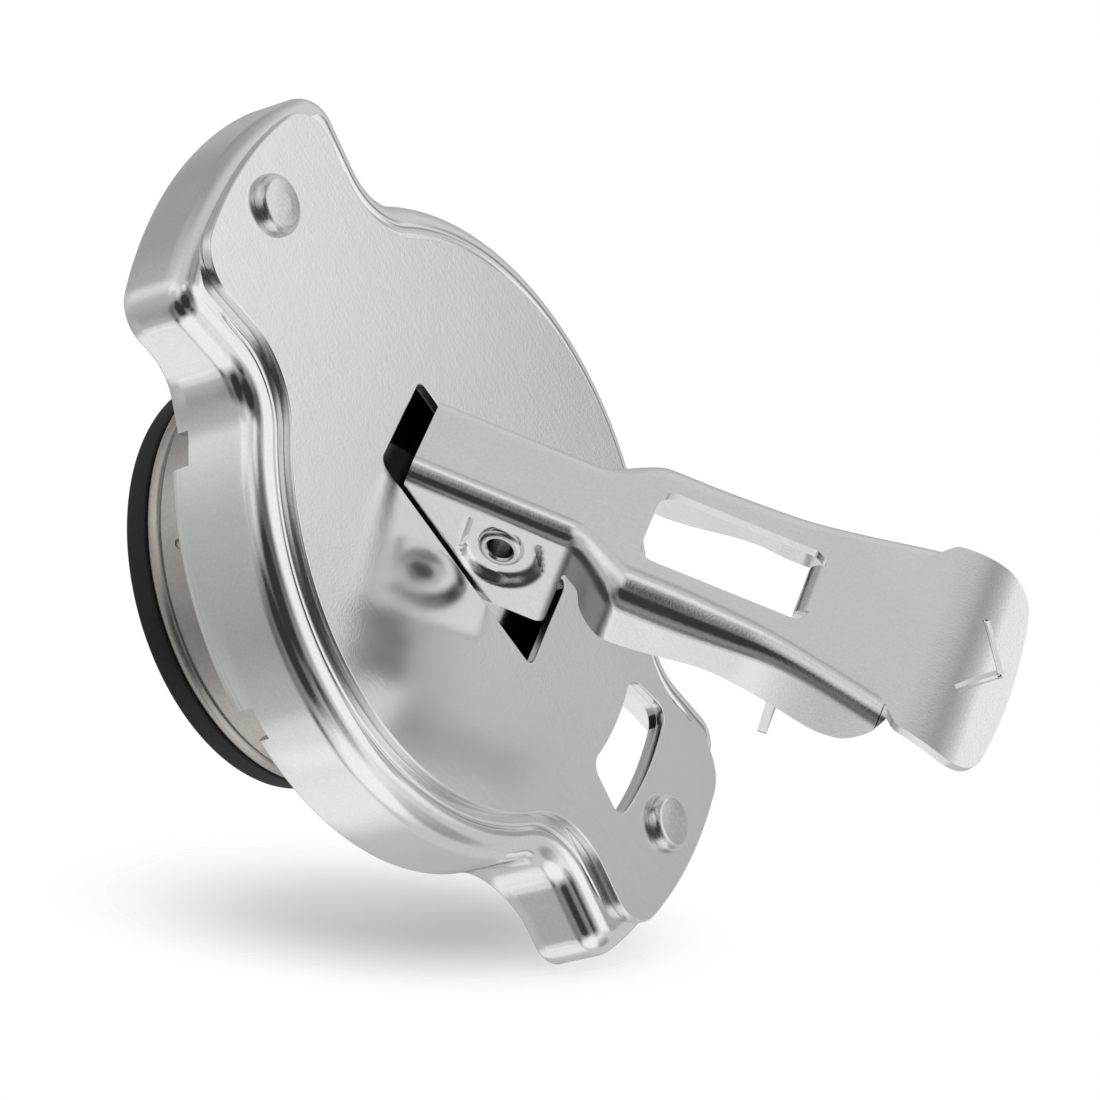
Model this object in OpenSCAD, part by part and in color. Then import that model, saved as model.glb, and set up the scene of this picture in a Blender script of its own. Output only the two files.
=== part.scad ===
// Lever-vent radiator cap, large neck size, 18 to 21 psi kind. Sizes in millimetres.
// Origin: centre of the neck gasket's sealing face. +Z points up out of the cap, X runs along the two ears.
// The lever is drawn raised, as on a cap being vented; lever_angle = 0 lays it flat on the plate.

/* [Cover plate] */
// Thickness of the riveted cover plate
plate_sheet = 1.0; // [0.6:0.1:1.6]
// Radius of the round middle of the plate
plate_radius = 28.3; // [27:0.1:29.2]
// Distance of a plate ear's end behind the shell ear's end
plate_setback = 0.8; // [0.4:0.1:2]
// Half width of a plate ear at its waist
plate_waist = 12.1; // [11:0.1:13]
// Radius of the inward curve between the round and the ear
plate_blend = 10.0; // [7:0.5:12]
// Radius of the ear corners of the plate
plate_corner = 3.0; // [2:0.1:4]
// Outward flare of the ear sides, degrees
ear_flare = 12; // [4:1:16]
// Distance from the axis at which the ear waist is measured
waist_x = 33.5; // [32:0.1:36]
// Length of the lever slot
slot_length = 27.4; // [26:0.1:30]
// Side gap between the lever walls and the slot
slot_gap = 0.4; // [0.3:0.05:0.8]
// Corner radius of the lever slot
slot_corner = 0.9; // [0.5:0.1:2]
// Turn of the lever and its slot from the ear line, degrees
lever_turn = 5.2; // [0:0.1:8]

/* [Shell] */
// Thickness of the drawn steel shell
shell_sheet = 1.0; // [0.8:0.1:1.2]
// Outer radius of the round skirt
shell_radius = 32.3; // [31.5:0.1:34]
// Radius from the axis to the outside of an ear end
shell_reach = 44.2; // [43.6:0.1:46]
// Half width of a shell ear at its waist
shell_waist = 16.6; // [15.5:0.1:18]
// Radius of the inward curve between skirt and ear
shell_blend = 6.0; // [4:0.5:8]
// Corner radius of a shell ear
shell_corner = 3.6; // [3.2:0.1:5]
// Outer radius of the rounded shoulder
shoulder = 2.5; // [1.8:0.1:3]
// Depth of the round skirt below the plate's top face
skirt_depth = 10.3; // [9:0.1:12]
// Depth of the ear skirts below the plate's top face
ear_depth = 8.4; // [7:0.1:9]
// Depth of the pressed recess floor below the plate's top face
recess_depth = 4.0; // [3.4:0.1:5]
// Radius of the pressed recess
recess_radius = 25.4; // [23:0.1:25.8]
// Arc covered by each bent-in locking lug, degrees
lug_arc = 42; // [30:1:50]
// Direction of the middle of a locking lug, degrees from the ear line
lug_direction = 60; // [50:1:75]
// Inner radius reached by the locking lugs
lug_radius = 26.4; // [25:0.1:28]
// Drop of the lug below the skirt
lug_drop = 1.5; // [1.2:0.1:2.5]
// Width of the notch at each end of a lug
notch_width = 3.4; // [2:0.1:4]
// Height of those notches
notch_height = 1.3; // [0.8:0.1:2]

/* [Tongue slot] */
// Inner radius of the arc slot for the lever's locking tongue
arc_inner = 26.9; // [26.6:0.1:27.5]
// Outer radius of the arc slot
arc_outer = 33.3; // [33:0.1:34]
// First side of the arc slot, degrees
arc_from = -10; // [-14:0.5:-8]
// Last side of the arc slot, degrees
arc_to = 17.5; // [16:0.5:22]
// Corner radius of the arc slot
arc_corner = 1.6; // [0.8:0.1:2.4]

/* [Ear rivets] */
// Distance of an ear rivet from the shell ear's end
rivet_inset = 5.9; // [5:0.1:7]
// Radius of the rivet head
rivet_head = 3.05; // [2.6:0.05:3.4]
// Height of the rivet head above the plate
rivet_height = 1.2; // [0.8:0.05:1.5]
// Radius of the rivet head's nearly flat top
rivet_top = 2.2; // [1.8:0.05:2.5]
// Radius of the rivet shank
rivet_shank = 1.5; // [1.2:0.1:1.8]

/* [Lever] */
// Angle the lever is raised to, degrees
lever_angle = 43; // [0:1:90]
// Thickness of the lever sheet
lever_sheet = 0.9; // [0.7:0.05:1.0]
// Outer radius of the folds along the lever
lever_fold = 2.0; // [1.6:0.1:2.4]
// Half width over the walls of the narrow part
neck_half = 5.5; // [5.2:0.1:6]
// Half width over the walls of the wide part
wide_half = 9.4; // [8.6:0.1:10]
// Half width of the finger paddle
paddle_half = 13.1; // [12.6:0.1:13.4]
// Height of the lever's top face over the pin
web_rise = 5.9; // [5.4:0.1:6.2]
// Distance from the pin to the flat foot of the side walls
foot_drop = 7.0; // [6.6:0.1:7.4]
// Rise of the pin for a full turn of the lever, in mm per radian
cam_rate = 2.29; // [1.8:0.01:2.5]
// Front end of the foot of the side walls
foot_front = 6.3; // [5:0.1:7]
// Where the narrow part starts to widen
widen_from = 5.6; // [5:0.1:7]
// Length of that widening curve
widen_run = 6.8; // [6:0.1:9]
// Where the wide part starts to flare into the paddle
flare_from = 24.5; // [23:0.5:25.5]
// Length of that flare
flare_run = 22; // [20:0.5:23]
// Where the flanges stop and the flat paddle begins
flange_end = 38.9; // [38.6:0.1:39.6]
// Where the paddle bends down
tip_bend_from = 42.6; // [42:0.1:44]
// Angle the tip bends down, degrees
tip_bend = 28; // [12:1:34]
// Length from the pin to the tip
tip_reach = 50.1; // [49:0.1:52]
// Corner radius of the tip
tip_corner = 3.6; // [3:0.1:5]
// Start of the window, heel side
window_from = 12.3; // [12:0.1:14]
// Half width of the window
window_half = 4.75; // [4.3:0.05:5]
// Corner radius of the window
window_corner = 1.6; // [1:0.1:2.4]
// Where the locking tongue turns down, from the pin
tongue_at = 28.0; // [27.6:0.1:28.4]
// Outer radius of the tongue's bend
tongue_bend = 1.3; // [1.1:0.1:1.6]
// Lean of the tongue towards the tip, degrees
tongue_lean = 4.5; // [0:0.5:6]
// How far the tongue reaches below the pin
tongue_drop = 13; // [10:0.1:13.2]
// Radius of the dish pressed into each wall round the pivot pin
dish_radius = 3.4; // [3.1:0.1:3.7]
// Height of the dish's straight upper edge over the pin
dish_top = 2.4; // [2:0.1:2.7]
// Depth of the dish
dish_depth = 0.8; // [0.5:0.05:0.9]
// Width of the sloping side of the dish
dish_slope = 0.8; // [0.4:0.05:0.9]

/* [Pin and stem] */
// Outer radius of the hollow pivot pin
pin_radius = 1.7; // [1.5:0.05:1.9]
// Bore radius of the pivot pin
pin_bore = 1.25; // [0.8:0.05:1.3]
// Radius of the flared pin ends
pin_flare = 2.3; // [2.1:0.05:2.5]
// Running clearance round the pin
pin_play = 0.05; // [0.03:0.01:0.08]
// Radius of the stem's eye round the pin
eye_radius = 3.2; // [3:0.05:3.4]
// Side gap between the stem's eye and the lever walls
eye_gap = 0.35; // [0.2:0.05:0.6]
// Radius of the pull stem
stem_radius = 2.0; // [1.8:0.05:2.2]
// Running clearance of the stem in its guide
stem_play = 0.06; // [0.04:0.01:0.09]

/* [Neck seal] */
// Thickness of the neck gasket
gasket_thick = 2.0; // [1.5:0.1:2.6]
// Outer radius of the neck gasket
gasket_radius = 28.0; // [27:0.1:28.4]
// Radius of the spring plate
spring_plate_radius = 18.4; // [16:0.1:20]
// Thickness of the spring plate
spring_plate_sheet = 0.8; // [0.6:0.1:1.2]
// Wall of the guide eyelet round the stem
guide_wall = 0.7; // [0.5:0.05:0.8]
// Upper flange radius of the guide eyelet
guide_top = 3.4; // [3.2:0.05:3.5]
// Lower flange radius of the guide eyelet
guide_bottom = 4.6; // [4:0.1:6]
// Thickness of the guide eyelet's flanges
guide_flange = 0.5; // [0.4:0.05:0.7]

/* [Pressure valve] */
// Distance from the gasket face to the pressure seal with the lever down
valve_reach = 21.1; // [20:0.1:24]
// Outer radius of the valve cup and pressure seal
cup_radius = 20.8; // [20:0.1:21.6]
// Thickness of the valve cup sheet
cup_sheet = 1.0; // [0.7:0.1:1.2]
// Height of the valve cup
cup_height = 6.4; // [5:0.1:8]
// How far the cup's wall lies inside the seal's edge
cup_step = 0.2; // [0.1:0.05:0.4]
// Height of the rounded band at the seal end of the cup
cup_band = 1.8; // [1.4:0.1:2.4]
// How far that band stands out beyond the seal's edge
cup_roll = 0.15; // [0.05:0.05:0.2]
// Radius of the staking dimples round the cup
cup_dimple = 0.8; // [0.5:0.1:1]
// Thickness of the rubber pressure seal
seal_thick = 2.4; // [2:0.1:3]
// Radius of the hole through the pressure seal
seal_hole = 8.2; // [7.6:0.1:8.8]
// Mean radius of the pressure spring
spring_radius = 10.8; // [10.4:0.1:12]
// Wire radius of the pressure spring
spring_wire = 1.2; // [0.8:0.05:1.3]
// Turns of the pressure spring
spring_turns = 4.75; // [4:0.25:5]
// Radius of the stirrup's wall
stirrup_radius = 6.8; // [6.4:0.1:7]
// Radius of the stirrup's foot
stirrup_foot = 9.0; // [8.4:0.1:9.2]
// Height of the stirrup
stirrup_height = 6.4; // [6:0.1:7.5]
// Thickness of the stirrup sheet
stirrup_sheet = 0.8; // [0.6:0.1:1]

/* [Vacuum valve] */
// Radius of the vacuum disc's flange
vacuum_radius = 10.9; // [10.2:0.1:12]
// Thickness of the vacuum disc sheet
vacuum_sheet = 0.6; // [0.5:0.05:0.8]
// Depth of the vacuum disc's dome
vacuum_dome = 3.5; // [2.5:0.1:4]
// Radius of the dome's flat end
vacuum_flat = 6.6; // [5.5:0.1:6.8]
// Run of the dome's sloping side
vacuum_slope = 2.3; // [1.8:0.1:2.6]
// Radius of the bead rolled round the flange
vacuum_bead = 0.35; // [0.2:0.05:0.45]
// Radius of the vacuum rivet's shank
vacuum_shank = 1.4; // [1.2:0.05:1.5]
// Running clearance of the vacuum rivet in the cup
vacuum_play = 0.06; // [0.04:0.01:0.09]
// Radius of the vacuum rivet's head
vacuum_head = 1.8; // [1.7:0.05:2.4]
// Height of the vacuum rivet's domed head
vacuum_crown = 0.8; // [0.5:0.05:1]
// Height the vacuum spring is held at
vacuum_spring_height = 2.8; // [2.6:0.1:3.2]
// Radius of the keeper washer
keeper_radius = 3.2; // [3:0.1:3.6]
// Thickness of the keeper washer
keeper_sheet = 0.6; // [0.4:0.05:0.8]

/* [Hidden] */
$fn = 96;

zinc = [0.80, 0.81, 0.82];
steel = [0.66, 0.65, 0.63];
rubber = [0.06, 0.06, 0.065];
brass = [0.80, 0.70, 0.48];

// Heights, all from the gasket's sealing face
floor_z = gasket_thick + shell_sheet;
plate_top = floor_z + recess_depth;
plate_under = plate_top - plate_sheet;
deck_under = plate_under - shell_sheet;
skirt_z = plate_top - skirt_depth;
ear_z = plate_top - ear_depth;
lift = cam_rate * lever_angle * PI / 180;
pin_z = floor_z + foot_drop + lift;
seal_z = lift - valve_reach;
cup_z = seal_z + seal_thick;
cup_floor = cup_z + cup_sheet;
stirrup_z = cup_floor + stirrup_height;
slot_half = neck_half + slot_gap;
plate_reach = shell_reach - plate_setback;
rivet_x = shell_reach - rivet_inset;
cup_wall = cup_radius - cup_step;
tongue_half = window_half - window_corner;
dish_floor = neck_half - dish_depth;

// An ear outline is [round radius, ear reach, waist x, waist half width, flare, corner radius, blend radius]
plate_form = [plate_radius, plate_reach, waist_x, plate_waist, ear_flare, plate_corner, plate_blend];
shell_form = [shell_radius, shell_reach, waist_x, shell_waist, ear_flare, shell_corner, shell_blend];

function run(a) = [cos(a), sin(a)];
function out(a) = [-sin(a), cos(a)];
function reach_along(b, d, r) = sqrt((b * d) * (b * d) - b * b + r * r) - b * d;
function corner_at(f) =
    let(b = [f[2], f[3]] - f[5] * out(f[4]))
    b + reach_along(b, run(f[4]), f[1] - f[5]) * run(f[4]);
function blend_at(f) =
    let(b = [f[2], f[3]] + f[6] * out(f[4]))
    b + reach_along(b, run(f[4]), f[0] + f[6]) * run(f[4]);
function turn_of(p) = atan2(p[1], p[0]);
function grown(f, o) =
    let(w = [f[2], f[3]] + o * out(f[4]))
    [f[0] + o, f[1] + o, w[0], w[1], f[4], f[5] + o, f[6] - o];

function arc(c, r, from, to, n) = [for (i = [0:n]) c + r * run(from + (to - from) * i / n)];
function quarter(f) =
    let(c = corner_at(f), b = blend_at(f), a = f[4])
    concat(arc([0, 0], f[1], 0, turn_of(c), 5), arc(c, f[5], turn_of(c) + 9, 90 + a, 7),
           arc(b, f[6], a - 90, turn_of(b) - 180, 8), arc([0, 0], f[0], turn_of(b) + 3, 90, 13));
function backward(p) = [for (i = [len(p) - 1:-1:1]) p[i]];
function forward(p) = [for (i = [0:len(p) - 2]) p[i]];

// Points all round an ear outline
function outline(f) =
    let(q = quarter(f))
    concat(forward(q), [for (p = backward(q)) [-p[0], p[1]]],
           [for (p = forward(q)) -p], [for (p = backward(q)) [p[0], -p[1]]]);

// Solid ring between closed loops of equal length, each loop joined to the next and the last to the first
module hooped(loops) {
    n = len(loops[0]);
    m = len(loops);
    polyhedron([for (l = loops) each l],
        [for (j = [0:m - 1], i = [0:n - 1]) [j * n + i, j * n + (i + 1) % n, (j + 1) % m * n + (i + 1) % n, (j + 1) % m * n + i]],
        convexity = 10);
}

module rounded(l, w, r) {
    square([l - 2 * r, w], center = true);
    square([l, w - 2 * r], center = true);
    for (x = [-1, 1], y = [-1, 1]) translate([x * (l / 2 - r), y * (w / 2 - r)]) circle(r = r, $fn = 32);
}

module ring(outer, inner, z, h) {
    translate([0, 0, z]) linear_extrude(h) difference() {
        circle(r = outer);
        circle(r = inner);
    }
}

// Arc slot for the tongue, with round corners
module arc_slot() {
    far = arc_outer - arc_corner;
    near = arc_inner + arc_corner;
    far_turn = asin(arc_corner / far);
    near_turn = asin(arc_corner / near);
    polygon(concat(
        arc([0, 0], arc_outer, arc_from + far_turn, arc_to - far_turn, 8),
        arc(far * run(arc_to - far_turn), arc_corner, arc_to - far_turn + 15, arc_to + 90, 5),
        arc(near * run(arc_to - near_turn), arc_corner, arc_to + 90, arc_to - near_turn + 165, 5),
        arc([0, 0], arc_inner, arc_to - near_turn, arc_from + near_turn, 8),
        arc(near * run(arc_from + near_turn), arc_corner, arc_from + near_turn + 195, arc_from + 270, 5),
        arc(far * run(arc_from + far_turn), arc_corner, arc_from - 90, arc_from + far_turn - 15, 5)));
}

// Depth of the skirt's edge: level round the skirt, higher along the ears
function ease(t) = t < 0 ? 0 : t > 1 ? 1 : t * t * (3 - 2 * t);
function skirt_at(p) = skirt_z + (ear_z - skirt_z) * ease((abs(p[0]) - waist_x + 6) / 8);
function raise(loop, z) = [for (p = loop) [p[0], p[1], z]];
function edge_of(loop) = [for (p = loop) [p[0], p[1], skirt_at(p)]];
function shoulder_loops(f, r, top) =
    [for (i = [0:6]) raise(outline(grown(f, r * (sin(i * 15) - 1))), top - r * (1 - cos(i * 15)))];

// Drawn shell: level deck with a pressed recess, rounded shoulder, skirt, and two bent-in lugs
module cap_shell() {
    lining = grown(shell_form, -shell_sheet);
    lap = 1;
    outside = shoulder_loops(shell_form, shoulder, plate_under);
    inside = shoulder_loops(lining, shoulder - shell_sheet, deck_under);
    deck = outline(grown(shell_form, -shoulder - lap));
    hole = stem_radius + stem_play + guide_wall;
    color(zinc) difference() {
        union() {
            hooped(concat([raise(deck, plate_under)], outside, [edge_of(outline(shell_form)), edge_of(outline(lining))],
                          [for (i = [6:-1:0]) inside[i]], [raise(deck, deck_under)]));
            translate([0, 0, deck_under]) linear_extrude(shell_sheet) difference() {
                polygon(outline(grown(shell_form, -shoulder - lap / 2)));
                circle(r = recess_radius);
            }
            ring(recess_radius + shell_sheet, recess_radius, gasket_thick, plate_under - shell_sheet / 2 - gasket_thick);
            ring(recess_radius + shell_sheet / 2, hole, gasket_thick, shell_sheet);
            for (s = [0, 180]) rotate(lug_direction - lug_arc / 2 + s) rotate_extrude(angle = lug_arc) lug_section();
        }
        translate([0, 0, deck_under - 1]) linear_extrude(shell_sheet + 2) arc_slot();
        for (s = [-1, 1]) translate([s * rivet_x, 0, deck_under - 1])
            cylinder(r = rivet_shank, h = shell_sheet + 2, $fn = 40);
        for (s = [0, 180], e = [-1, 1]) rotate(lug_direction + s + e * lug_arc / 2)
            translate([shell_radius - 3, e < 0 ? -notch_width : 0, skirt_z - 5]) cube([6, notch_width, notch_height + 5]);
    }
}

// Section of a locking lug: runs down out of the skirt and turns in level under it
module lug_section() {
    skin = 0.1;
    outer = shell_radius - skin;
    wall = shell_sheet - 2 * skin;
    bend = lug_drop;
    low = skirt_z - lug_drop;
    polygon(concat(
        [[outer - wall, skirt_z + 1], [outer, skirt_z + 1]],
        [for (i = [0:6]) [outer - bend + bend * cos(i * 15), skirt_z - bend * sin(i * 15)]],
        [[lug_radius, low], [lug_radius, low + wall]],
        [for (i = [6:-1:0]) [outer - bend + (bend - wall) * cos(i * 15), skirt_z - (bend - wall) * sin(i * 15)]]));
}

// Flat riveted cover with the lever slot and the tongue slot
module cover_plate() {
    color(zinc) translate([0, 0, plate_under]) linear_extrude(plate_sheet) difference() {
        polygon(outline(plate_form));
        rotate(lever_turn) rounded(slot_length, 2 * slot_half, slot_corner);
        arc_slot();
        for (s = [-1, 1]) translate([s * rivet_x, 0]) circle(r = rivet_shank, $fn = 40);
    }
}

// Rivet head with a rounded flank and a nearly flat top
module ear_rivet() {
    rim = 0.15;
    crown = 0.06;
    flank = rivet_height - rim - crown;
    rotate_extrude() {
        translate([0, deck_under]) square([rivet_shank, plate_top - deck_under]);
        translate([0, deck_under - 0.6]) square([rivet_shank + 1, 0.6]);
        translate([0, plate_top]) polygon(concat(
            [[0, 0], [rivet_head, 0]],
            [for (i = [0:6]) [rivet_top + (rivet_head - rivet_top) * cos(i * 15), rim + flank * sin(i * 15)]],
            [[0, rivet_height]]));
    }
}

module ear_rivet_near() {
    color(zinc) translate([-rivet_x, 0, 0]) ear_rivet();
}

module ear_rivet_far() {
    color(zinc) translate([rivet_x, 0, 0]) ear_rivet();
}

module neck_gasket() {
    color(rubber) ring(gasket_radius, stem_radius + stem_play + guide_wall, 0, gasket_thick);
}

module spring_plate() {
    color(steel) ring(spring_plate_radius, stem_radius + stem_play + guide_wall, -spring_plate_sheet, spring_plate_sheet);
}

// Eyelet that holds shell, gasket and spring plate together and guides the stem
module guide_eyelet() {
    bore = stem_radius + stem_play;
    low = -spring_plate_sheet;
    color(steel) {
        ring(bore + guide_wall, bore, low - guide_flange, floor_z + 2 * guide_flange - low);
        ring(guide_top, bore, floor_z, guide_flange);
        ring(guide_bottom, bore, low - guide_flange, guide_flange);
    }
}

// Puts the lever's own frame, pin on the origin and length along x, into the cap
module raised() {
    translate([0, 0, pin_z]) rotate([0, 0, lever_turn]) rotate([0, -lever_angle, 0]) children();
}

// Half width over the lever's walls, from the heel to the tip
function half_at(x) =
    neck_half + (wide_half - neck_half) * ease((x - widen_from) / widen_run)
    + (paddle_half - wide_half) * ease((x - flare_from) / flare_run);
function lean_at(x) = (half_at(x + 0.01) - half_at(x - 0.01)) / 0.02;

// Foot of the walls: an involute that lifts the pin by cam_rate for each radian of turn
function cam(a) =
    let(p = foot_drop + cam_rate * a * PI / 180)
    [-p * sin(a) - cam_rate * cos(a), -p * cos(a) + cam_rate * sin(a)];

// Lower edge of the flanges, a smooth line through a few stations along the lever
flange_line = [[foot_front, 1 - foot_drop], [foot_front + 0.1, 0.1], [7.3, 0.5], [8.3, 0.4], [9.1, -0.9],
               [10.7, -1.5], [13, -1.65], [16, -1.35], [21.8, -0.3], [26, -0.6], [30.3, -0.9], [33.5, -0.9],
               [35.5, -0.3], [36.8, 0.5], [38.1, 2.1], [flange_end, web_rise - lever_fold - 0.2]];
function smooth(p, i, t) =
    let(a = p[max(i - 1, 0)], b = p[i], c = p[i + 1], d = p[min(i + 2, len(p) - 1)])
    b + 0.5 * t * (c - a + t * (2 * a - 5 * b + 4 * c - d + t * (3 * b - a - 3 * c + d)));
stations = concat(
    [for (i = [18:-1:0]) cam(i * 5)],
    [for (i = [0:4]) [foot_front - 1 + sin(i * 22.5), 1 - foot_drop - cos(i * 22.5)]],
    [flange_line[1]],
    [for (i = [1:len(flange_line) - 2], k = [1:4]) smooth(flange_line, i, k / 4)]);

// One channel section: outside of the folded sheet from foot to foot, then back along the inside
function channel(x, foot) =
    let(h = half_at(x), skin = lever_sheet * sqrt(1 + lean_at(x) * lean_at(x)), r = lever_fold, q = lever_fold - lever_sheet,
        outer = concat([[h, foot]], [for (i = [0:5]) [h - r + r * cos(i * 18), web_rise - r + r * sin(i * 18)]]),
        inner = concat([[h - skin, foot]],
                       [for (i = [0:5]) [h - skin - q + q * cos(i * 18), web_rise - r + q * sin(i * 18)]]))
    [for (p = concat(outer, [for (i = [6:-1:0]) [-outer[i][0], outer[i][1]]],
                     [for (p = inner) [-p[0], p[1]]], [for (i = [6:-1:0]) inner[i]])) [x, p[0], p[1]]];

// Skin over a row of equal sheet sections; each end is closed by short faces across the sheet
module lofted(rows) {
    n = len(rows[0]);
    m = len(rows);
    last = (m - 1) * n;
    polyhedron([for (r = rows) each r], concat(
        [for (i = [0:n / 2 - 2]) [i, i + 1, n - 2 - i, n - 1 - i]],
        [for (j = [0:m - 2], i = [0:n - 1]) [j * n + i, (j + 1) * n + i, (j + 1) * n + (i + 1) % n, j * n + (i + 1) % n]],
        [for (i = [0:n / 2 - 2]) [last + i, last + n - 1 - i, last + n - 2 - i, last + i + 1]]), convexity = 10);
}

// Finger paddle in plan: flaring sides, round corners, bowed end
module paddle_plan() {
    bow = 70;
    inset = 0.6;
    middle = tip_reach - bow;
    side = paddle_half - tip_corner;
    corner = [middle + sqrt(pow(bow - tip_corner, 2) - side * side), side];
    last = turn_of(corner - [middle, 0]);
    start = flange_end - 0.4;
    stop = min(flare_from + flare_run, corner[0] - 0.2);
    right = concat(
        [for (i = [0:6]) let(x = start + i * (stop - start) / 6)
            [x, half_at(x) - inset * (1 - ease(i / 6))]],
        arc(corner, tip_corner, 90, last, 8), arc([middle, 0], bow, last - 2, 0, 4));
    polygon(concat(right, [for (i = [len(right) - 2:-1:0]) [right[i][0], -right[i][1]]]));
}

// Finger paddle from the side: level, then bent down
module paddle_side() {
    inner = 5;
    low = web_rise - lever_sheet;
    hub = [tip_bend_from, low - inner];
    run_out = tip_reach - tip_bend_from;
    turned = 90 - tip_bend;
    polygon(concat(
        [[flange_end - 1, low], [flange_end - 1, web_rise]], arc(hub, inner + lever_sheet, 90, turned, 6),
        [hub + (inner + lever_sheet) * run(turned) + run_out * run(-tip_bend), hub + inner * run(turned) + run_out * run(-tip_bend)],
        arc(hub, inner, turned, 90, 6)));
}

// Tongue from the side: bent down out of the end of the window, leaning a little towards the tip
module tongue_side() {
    turned = 180 + tongue_lean;
    hub = [tongue_at + tongue_bend, web_rise - tongue_bend];
    start = hub + tongue_bend * run(turned);
    drop = (start[1] + tongue_drop) / cos(tongue_lean) * run(tongue_lean - 90);
    polygon(concat(
        [hub + [1, tongue_bend]], arc(hub, tongue_bend, 90, turned, 6),
        [start + drop, start + drop - lever_sheet * run(turned)],
        arc(hub, tongue_bend - lever_sheet, turned, 90, 6), [hub + [1, tongue_bend - lever_sheet]]));
}

// Stamped lever: channel with cam walls, window, hanging tongue and finger paddle
module lever() {
    wide = 4 * paddle_half;
    window_to = tongue_at + tongue_bend;
    color(zinc) raised() difference() {
        union() {
            difference() {
                union() {
                    lofted([for (p = stations) channel(p[0], p[1])]);
                    intersection() {
                        linear_extrude(wide, center = true) paddle_plan();
                        rotate([90, 0, 0]) linear_extrude(wide, center = true) paddle_side();
                    }
                }
                linear_extrude(wide) translate([(window_from + window_to) / 2, 0])
                    rounded(window_to - window_from, 2 * window_half, window_corner);
            }
            intersection() {
                rotate([90, 0, 0]) linear_extrude(2 * tongue_half, center = true) tongue_side();
                rotate([90, 0, 90]) linear_extrude(wide)
                    translate([0, web_rise]) rounded(2 * tongue_half, 2 * (web_rise + tongue_drop), 1.2);
            }
            dish_backs();
        }
        dishes();
        rotate([90, 0, 0]) cylinder(r = pin_radius, h = wide, center = true, $fn = 40);
    }
}

// Outline of a dish, grown by g: round below, straight along the fold
function dish(g) =
    let(r = dish_radius + g, e = dish_top + g)
    concat(arc([0, 0], r, 180, 350, 17), [[0.85 * r, e], [-r, e]]);

// Hollow of the dish, wider towards the outside of the wall
module dishes() {
    over = 1.5;
    n = len(dish(0));
    points = concat([for (p = dish(0)) [p[0], p[1], dish_floor]],
                    [for (p = dish(over * dish_slope)) [p[0], p[1], dish_floor + over * dish_depth]]);
    faces = concat([[for (i = [0:n - 1]) i]], [[for (i = [n - 1:-1:0]) n + i]],
                   [for (i = [0:n - 1]) [i, n + i, n + (i + 1) % n, (i + 1) % n]]);
    for (s = [0, 1]) mirror([0, s, 0]) rotate([90, 0, 0]) polyhedron(points, faces);
}

// Metal pushed out on the inside of the wall behind each dish
module dish_backs() {
    lap = 0.2;
    for (s = [0, 1]) mirror([0, s, 0]) rotate([90, 0, 0]) translate([0, 0, dish_floor - lever_sheet])
        linear_extrude(dish_depth + lap) polygon(dish(dish_slope / 2));
}

// Hollow pin, flared at both ends in the dishes of the lever walls
module pivot_pin() {
    lip = 0.6;
    seat = dish_floor;
    color(zinc) raised() rotate([90, 0, 0]) rotate_extrude() {
        translate([pin_bore, -seat - lip]) square([pin_radius - pin_bore, 2 * (seat + lip)]);
        for (s = [0, 1]) mirror([0, s]) {
            translate([pin_bore, seat]) square([pin_flare - lip - pin_bore, lip]);
            translate([pin_flare - lip, seat]) intersection() {
                circle(r = lip);
                square(lip);
            }
        }
    }
}

// Stem with a flat eye for the pin; its lower end is riveted into the stirrup
module pull_stem() {
    half = dish_floor - lever_sheet - eye_gap;
    color(steel) {
        difference() {
            translate([0, 0, pin_z]) rotate([0, 0, lever_turn]) {
                rotate([90, 0, 0]) cylinder(r = eye_radius, h = 2 * half, center = true);
                translate([-eye_radius * 0.8, -half, -eye_radius - 1.2]) cube([1.6 * eye_radius, 2 * half, eye_radius + 1.2]);
            }
            translate([0, 0, pin_z]) rotate([90, 0, lever_turn]) cylinder(r = pin_radius + pin_play, h = 4 * half, center = true);
        }
        translate([0, 0, stirrup_z - stirrup_sheet - 0.9]) cylinder(r = stem_radius - 0.5, h = stirrup_sheet + 1.9);
        translate([0, 0, stirrup_z]) cylinder(r = stem_radius, h = pin_z - eye_radius - 0.6 - stirrup_z);
    }
}

// Hat-shaped stirrup that ties the stem to the valve cup, with side windows for the vacuum air
module stirrup() {
    color(steel) difference() {
        union() {
            ring(stirrup_foot, stirrup_radius - stirrup_sheet, cup_floor, stirrup_sheet);
            ring(stirrup_radius, stirrup_radius - stirrup_sheet, cup_floor, stirrup_height);
            ring(stirrup_radius, stem_radius - 0.5, stirrup_z - stirrup_sheet, stirrup_sheet);
        }
        for (a = [0, 60, 120]) rotate([90, 0, a]) translate([0, cup_floor + stirrup_height / 2, -2 * stirrup_radius])
            cylinder(r = 1.4, h = 4 * stirrup_radius);
    }
}

// Washer under the riveted end of the stem
module stem_washer() {
    color(steel) ring(stem_radius + 1, stem_radius - 0.5, stirrup_z - stirrup_sheet - 0.5, 0.5);
}

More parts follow.
